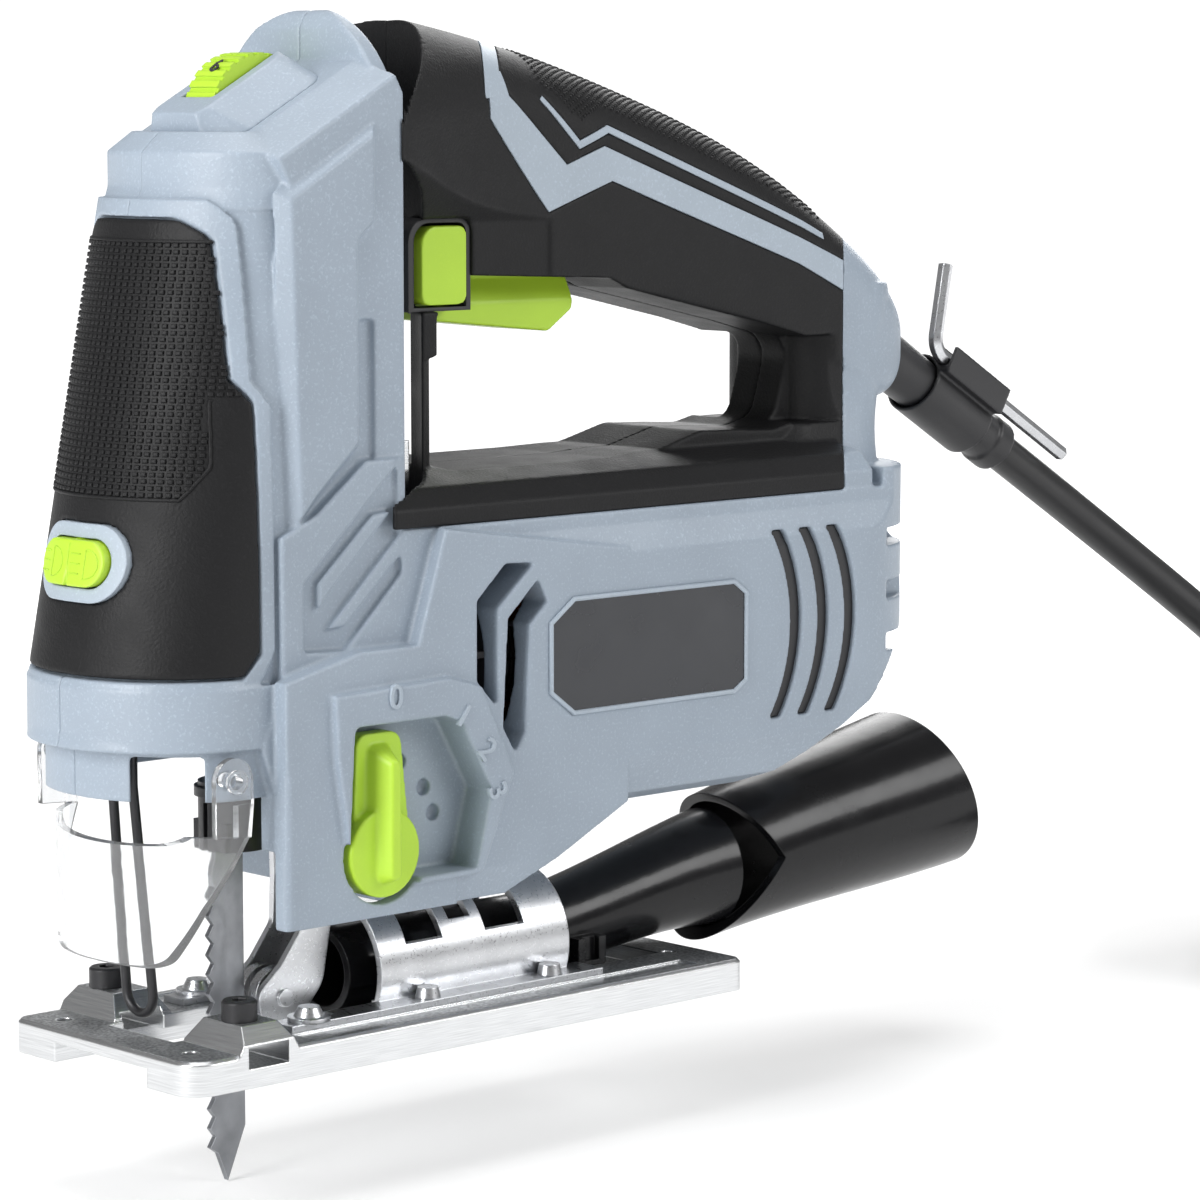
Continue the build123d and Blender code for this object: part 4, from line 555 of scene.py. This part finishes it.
def make_handle_studs():
    """Fine studs over the top of the handle, in staggered rings round its spine."""
    tree = surface_of("handle_left", "handle_right", "stripe_left", "stripe_right", "accent_lines")
    bm = bmesh.new()
    column = 0
    x = STUDS_FROM
    while x < STUDS_TO:
        middle = Vector((x, 0.0, SPINE_Z - (x - 30 * MM) * SPINE_FALL))
        found = []
        for k in range(SPINE_RAYS):
            angle = SPINE_RAY_STEP * k
            out = Vector((0.0, -math.sin(angle), math.cos(angle)))
            place, normal, _, _ = tree.ray_cast(middle + out * SPINE_RAY_FROM, -out)
            if place is None or place.z < texture_floor(x) + EDGE_GAP:
                break
            found.append((place, normal))
        for place, normal in spaced(found, STUD_PITCH, STUD_PITCH * (0.5 if column % 2 else 1.0)):
            for side in (1, -1):
                at = Vector((place.x, place.y * side, place.z))
                out = Vector((normal.x, normal.y * side, normal.z))
                add_stud(bm, at, out, Vector((1, 1, 0)), STUD_SIZE, STUD_HEIGHT, STUD_TAPER)
        column += 1
        x += COLUMN_STEP
    add_piece("handle_studs", mesh_from("handle_studs", bm), "base", "black_rubber")


# ---------------------------------------------------------------- numbers and symbols
LEVER = Vector((-29.5, 0.0, 43.5)) * MM
SELECTOR_DIGITS = [("0", 31.4, 87.0), ("1", 32.4, 53.0), ("2", 31.6, 35.5), ("3", 30.0, 18.5)]  # mm, degrees
SELECTOR_TEXT, SELECTOR_RISE = 6.8 * MM, 0.42 * MM
DIAL_TEXT, DIAL_RISE = 5.2 * MM, 0.12 * MM
DIAL_READ = math.radians(129.0)      # where the dial's number is read, from the rear round over the top


def raised_text(name, text, size, height, turn, body, slot):
    """A number as a raised mesh. turn is the transform that carries it from the XY plane to its place."""
    font = bpy.data.curves.new(name, "FONT")
    font.body = text
    font.size = size
    font.align_x, font.align_y = "CENTER", "CENTER"
    font.extrude = height
    font.bevel_depth = height * 0.25
    holder = bpy.data.objects.new(name + "_curve", font)
    bpy.context.scene.collection.objects.link(holder)
    graph = bpy.context.evaluated_depsgraph_get()
    mesh = bpy.data.meshes.new_from_object(holder.evaluated_get(graph))
    bpy.data.objects.remove(holder)
    mesh.transform(turn)
    add_piece(name, mesh, body, slot)


def make_selector_digits():
    """0 to 3 on the raised face round the selector's pocket, each turned to face the lever's axis."""
    face_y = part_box("housing_left")[0].y
    upright = Matrix.Rotation(math.pi / 2, 4, "X")
    for text, reach, degrees in SELECTOR_DIGITS:
        angle = math.radians(degrees)
        place = LEVER + Vector((math.cos(angle), 0.0, math.sin(angle))) * reach * MM
        place.y = face_y
        lean = Matrix.Rotation(math.pi / 2 - angle, 4, "Y")
        turn = Matrix.Translation(place) @ lean @ upright
        name = "selector_digit_" + text
        raised_text(name, text, SELECTOR_TEXT, SELECTOR_RISE, turn, "base", "accent_plastic")


def make_dial_digit():
    low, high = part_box("speed_dial")
    axis = Vector(((low.x + high.x) / 2, 0.0, (low.z + high.z) / 2))
    radius = (high.z - low.z) / 2
    place = axis + Vector((math.cos(DIAL_READ), 0.0, math.sin(DIAL_READ))) * radius
    lean = Matrix.Rotation(math.pi / 2 - DIAL_READ, 4, "Y")
    turn = Matrix.Translation(place) @ lean @ Matrix.Rotation(-math.pi / 2, 4, "Z")
    raised_text("dial_digit", "6", DIAL_TEXT, DIAL_RISE, turn, "speed_dial", "dark_plastic")


BADGE_BEAD_R = 0.55 * MM
SIGN_LINE_R = 0.16 * MM


def make_badge_border(node):
    """A pale bead round a label plate, along the plate's own outline."""
    low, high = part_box(node)
    outward = -1 if low.y + high.y < 0 else 1
    y = (low.y if outward < 0 else high.y) + outward * 0.05 * MM
    flat = [Vector((v.co.x, v.co.z)) for v in nodes[node].data.vertices]
    loop = [Vector((flat[k].x, y, flat[k].y)) for k in convex_hull_2d(flat)]
    tube_along(node + "_border", loop, BADGE_BEAD_R, "base", "accent_plastic", closed=True)


def make_lamp_symbols():
    """A simple lamp sign on each half of the light switch, and the line between them."""
    tree = surface_of("light_switch")
    low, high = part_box("light_switch")
    z = (low.z + high.z) / 2
    size = 0.30 * (high.z - low.z)

    def on_face(points, name, closed=False):
        placed = []
        for y, up in points:
            place, _, _, _ = tree.ray_cast(Vector((low.x - 20 * MM, y, z + up)), Vector((1, 0, 0)))
            if place is None:
                return
            placed.append(place)
        tube_along(name, placed, SIGN_LINE_R, "light_switch", "lime_plastic", closed)

    on_face([(0.0, size * k / 4) for k in range(-5, 6)], "switch_line")
    for side, middle in (("left", low.y * 0.52), ("right", high.y * 0.52)):
        arc = [(middle - 0.9 * size * math.cos(math.radians(a)), size * 0.75 * math.sin(math.radians(a)))
               for a in range(-90, 91, 15)]
        on_face(arc, "lamp_sign_" + side, closed=True)
        for k in (-1, 0, 1):
            ray = [(middle + size * (0.35 + 0.12 * j), size * 0.5 * k) for j in range(7)]
            on_face(ray, "lamp_ray_%s_%d" % (side, k + 1))


# ---------------------------------------------------------------- painted shade in the rear air slots
VENT_X = (80.5 * MM, 89.0 * MM, 97.5 * MM)    # where the rear slots' front edges end, above and below
VENT_Z, VENT_HALF = 80.0 * MM, 20.3 * MM      # the slots' middle, and half their height
VENT_BOW, VENT_WIDE = 6.2 * MM, 4.0 * MM
VENT_DEPTH = 1.5 * MM                         # of the painted shade sheets, below the housing's surface
VENT_ROWS = 12
VENT_THICK = 0.6 * MM
VENT_TUCK = 0.2 * MM                          # of a painted shade sheet, under the slot's front edge
VENT_BESIDE = 1.0 * MM                        # beside the slot, where the housing's surface is measured
HOUSING_SIDE = 31 * MM                        # the housing's half width where no ray meets it


def make_vent_shade_sheets(side):
    """Dark sheets of painted shade close behind the three bowed rear slots of one side, -1 for left and 1
    for right.
    """
    name = "housing_left" if side < 0 else "housing_right"
    tree = surface_of(name)
    bm = bmesh.new()

    def depth_beside(x, z):
        place, _, _, _ = tree.ray_cast(Vector((x, side * 60 * MM, z)), Vector((0, -side, 0)))
        return side * place.y if place else HOUSING_SIDE + VENT_DEPTH

    for slot_x in VENT_X:
        rows = []
        for k in range(VENT_ROWS + 1):
            share = 2 * k / VENT_ROWS - 1
            z = VENT_Z + share * VENT_HALF
            front = slot_x + VENT_BOW * (1 - share ** 2)
            edges = ((front - VENT_TUCK, -VENT_BESIDE), (front + VENT_WIDE, VENT_BESIDE))
            rows.append([bm.verts.new((x, side * (depth_beside(x + beside, z) - VENT_DEPTH), z))
                         for x, beside in edges])
        for below, above in zip(rows, rows[1:]):
            bm.faces.new((below[0], below[1], above[1], above[0]))
    # dark sheets that paint the shade falling inside the slots; the real slots have no dark part there
    mesh = mesh_from("rear_vent_painted_shade", bm)
    shade_sheet = add_piece(name.replace("housing", "rear_vent_painted_shade"), mesh, "base", "dark_plastic")
    thick = shade_sheet.modifiers.new("thick", "SOLIDIFY")
    thick.thickness = VENT_THICK
    thick.offset = 0.0


# ---------------------------------------------------------------- the mains cord
CORD_D = 9 * MM
CORD_EXIT = Vector((189.08, 0.0, 110.82)) * MM
CORD_LEAD = [Vector((255.0, 0.0, 72.0)) * MM, Vector((292.0, 3.0, 50.3)) * MM]
COIL_MIDDLE = Vector((320.0, -33.0, 0.0)) * MM
COIL_R = 5.0 * CORD_D
TURN_POINTS = 16                     # control points for each turn, about
COIL_TURNS = 5 + 190 / 360           # the last turn leaves towards the plug
SHIFT = 56 / 360                     # the share of a turn in which the cord moves to the next place
PLACES = [                           # cord diameters out from the middle of the turns, and up from the floor
    (-0.5, 3.5), (-0.5, 2.5), (0.5, 2.5), (0.5, 1.5), (-0.5, 1.5), (-0.5, 0.5), (0.5, 0.5)
]
LANDING = 0.36                       # share of a turn over which the cord comes down on the coil
LANDING_RISE = 29.0 * MM
PLUG_START = Vector((311.4, -81.75, -18.0)) * MM
PLUG_AXIS = Vector((-0.985, 0.174, 0.0))
PLUG_RISE = 4.5 * MM                 # the plug's cord entry sits this much higher than the lowest turn
RISING = 0.13                        # share of a turn over which the cord climbs to it
PLUG_GRIPS = 6 * MM                  # how far the cord runs on inside the plug


def eased(share):
    """A smooth step from nought to one."""
    share = min(1.0, max(0.0, share))
    return share * share * (3 - 2 * share)


def coil_points():
    """Turns wound clockwise from above, top layer first; each place holds a little less than a turn."""
    outward = 1.0 / math.cos(math.pi / TURN_POINTS) ** 2     # a NURBS runs inside its control points
    per_place = COIL_TURNS / len(PLACES)
    points = []
    count = round(COIL_TURNS * TURN_POINTS)
    for k in range(count + 1):
        turned = k * COIL_TURNS / count
        slot = min(len(PLACES) - 1, int(turned / per_place))
        (out, up), (next_out, next_up) = PLACES[slot], PLACES[min(slot + 1, len(PLACES) - 1)]
        share = eased((turned - (slot + 1) * per_place + SHIFT) / SHIFT)
        radius = (COIL_R + CORD_D * (out + (next_out - out) * share)) * outward
        height = FLOOR_Z + CORD_D * (up + (next_up - up) * share)
        height += LANDING_RISE * max(0.0, 1 - turned / LANDING) ** 2
        height += PLUG_RISE * eased((turned - COIL_TURNS + RISING) / RISING)
        angle = math.pi / 2 - 2 * math.pi * turned
        points.append(COIL_MIDDLE + Vector((radius * math.cos(angle), radius * math.sin(angle), height)))
    points[-1] = PLUG_START
    return points + [PLUG_START + PLUG_AXIS * PLUG_GRIPS]


def make_cord():
    """The whole mains cord as one smooth line: down from the boot, round the coil and into the plug."""
    points = [CORD_EXIT] + CORD_LEAD + coil_points()
    curve = bpy.data.curves.new("mains_cord", "CURVE")
    curve.dimensions = "3D"
    spline = curve.splines.new("NURBS")
    spline.points.add(len(points) - 1)
    for target, point in zip(spline.points, points):
        target.co = (*point, 1.0)
    spline.order_u = 3
    spline.use_endpoint_u = True
    curve.bevel_depth = CORD_D / 2
    curve.bevel_resolution = 6
    curve.resolution_u = 12
    curve.use_fill_caps = True
    cord = add_piece("mains_cord", curve, "base", "cord_pvc")
    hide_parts("cord", "cord_coil")


# ---------------------------------------------------------------- the whole scene
SOFTENED = {                     # voxel, smoothing rounds, share of the faces kept
    "housing_left": (0.42 * MM, 2, 0.40),
    "housing_right": (0.42 * MM, 2, 0.40),
    "handle_left": (0.45 * MM, 3, 0.40),
    "handle_right": (0.45 * MM, 3, 0.40),
    "front_grip": (0.45 * MM, 3, 0.5),
    "selector": (0.3 * MM, 6, 0.5),
    "trigger": (0.35 * MM, 7, 0.5),
    "lock_button": (0.3 * MM, 6, 0.5),
    "light_switch": (0.25 * MM, 6, 0.5),
    "dial_bezel": (0.35 * MM, 3, 0.5),
    "key_clip": (0.35 * MM, 5, 0.5),
    "cord_boot": (0.35 * MM, 5, 0.5),
    "plug": (0.4 * MM, 5, 0.4),
}

materials = make_materials()
make_camera()
make_floor()
for light in LIGHTS:
    area_light(*light)
make_world()
for node_name, node_object in nodes.items():
    dress(node_object, slot_of_node[node_name])
for node_name, (voxel, rounds, keep) in SOFTENED.items():
    softened(node_name, voxel, rounds, keep)
make_grip_bricks()
make_handle_studs()
make_selector_digits()
make_dial_digit()
make_badge_border("badge_left")
make_badge_border("badge_right")
make_lamp_symbols()
make_vent_shade_sheets(-1)
make_vent_shade_sheets(1)
make_cord()
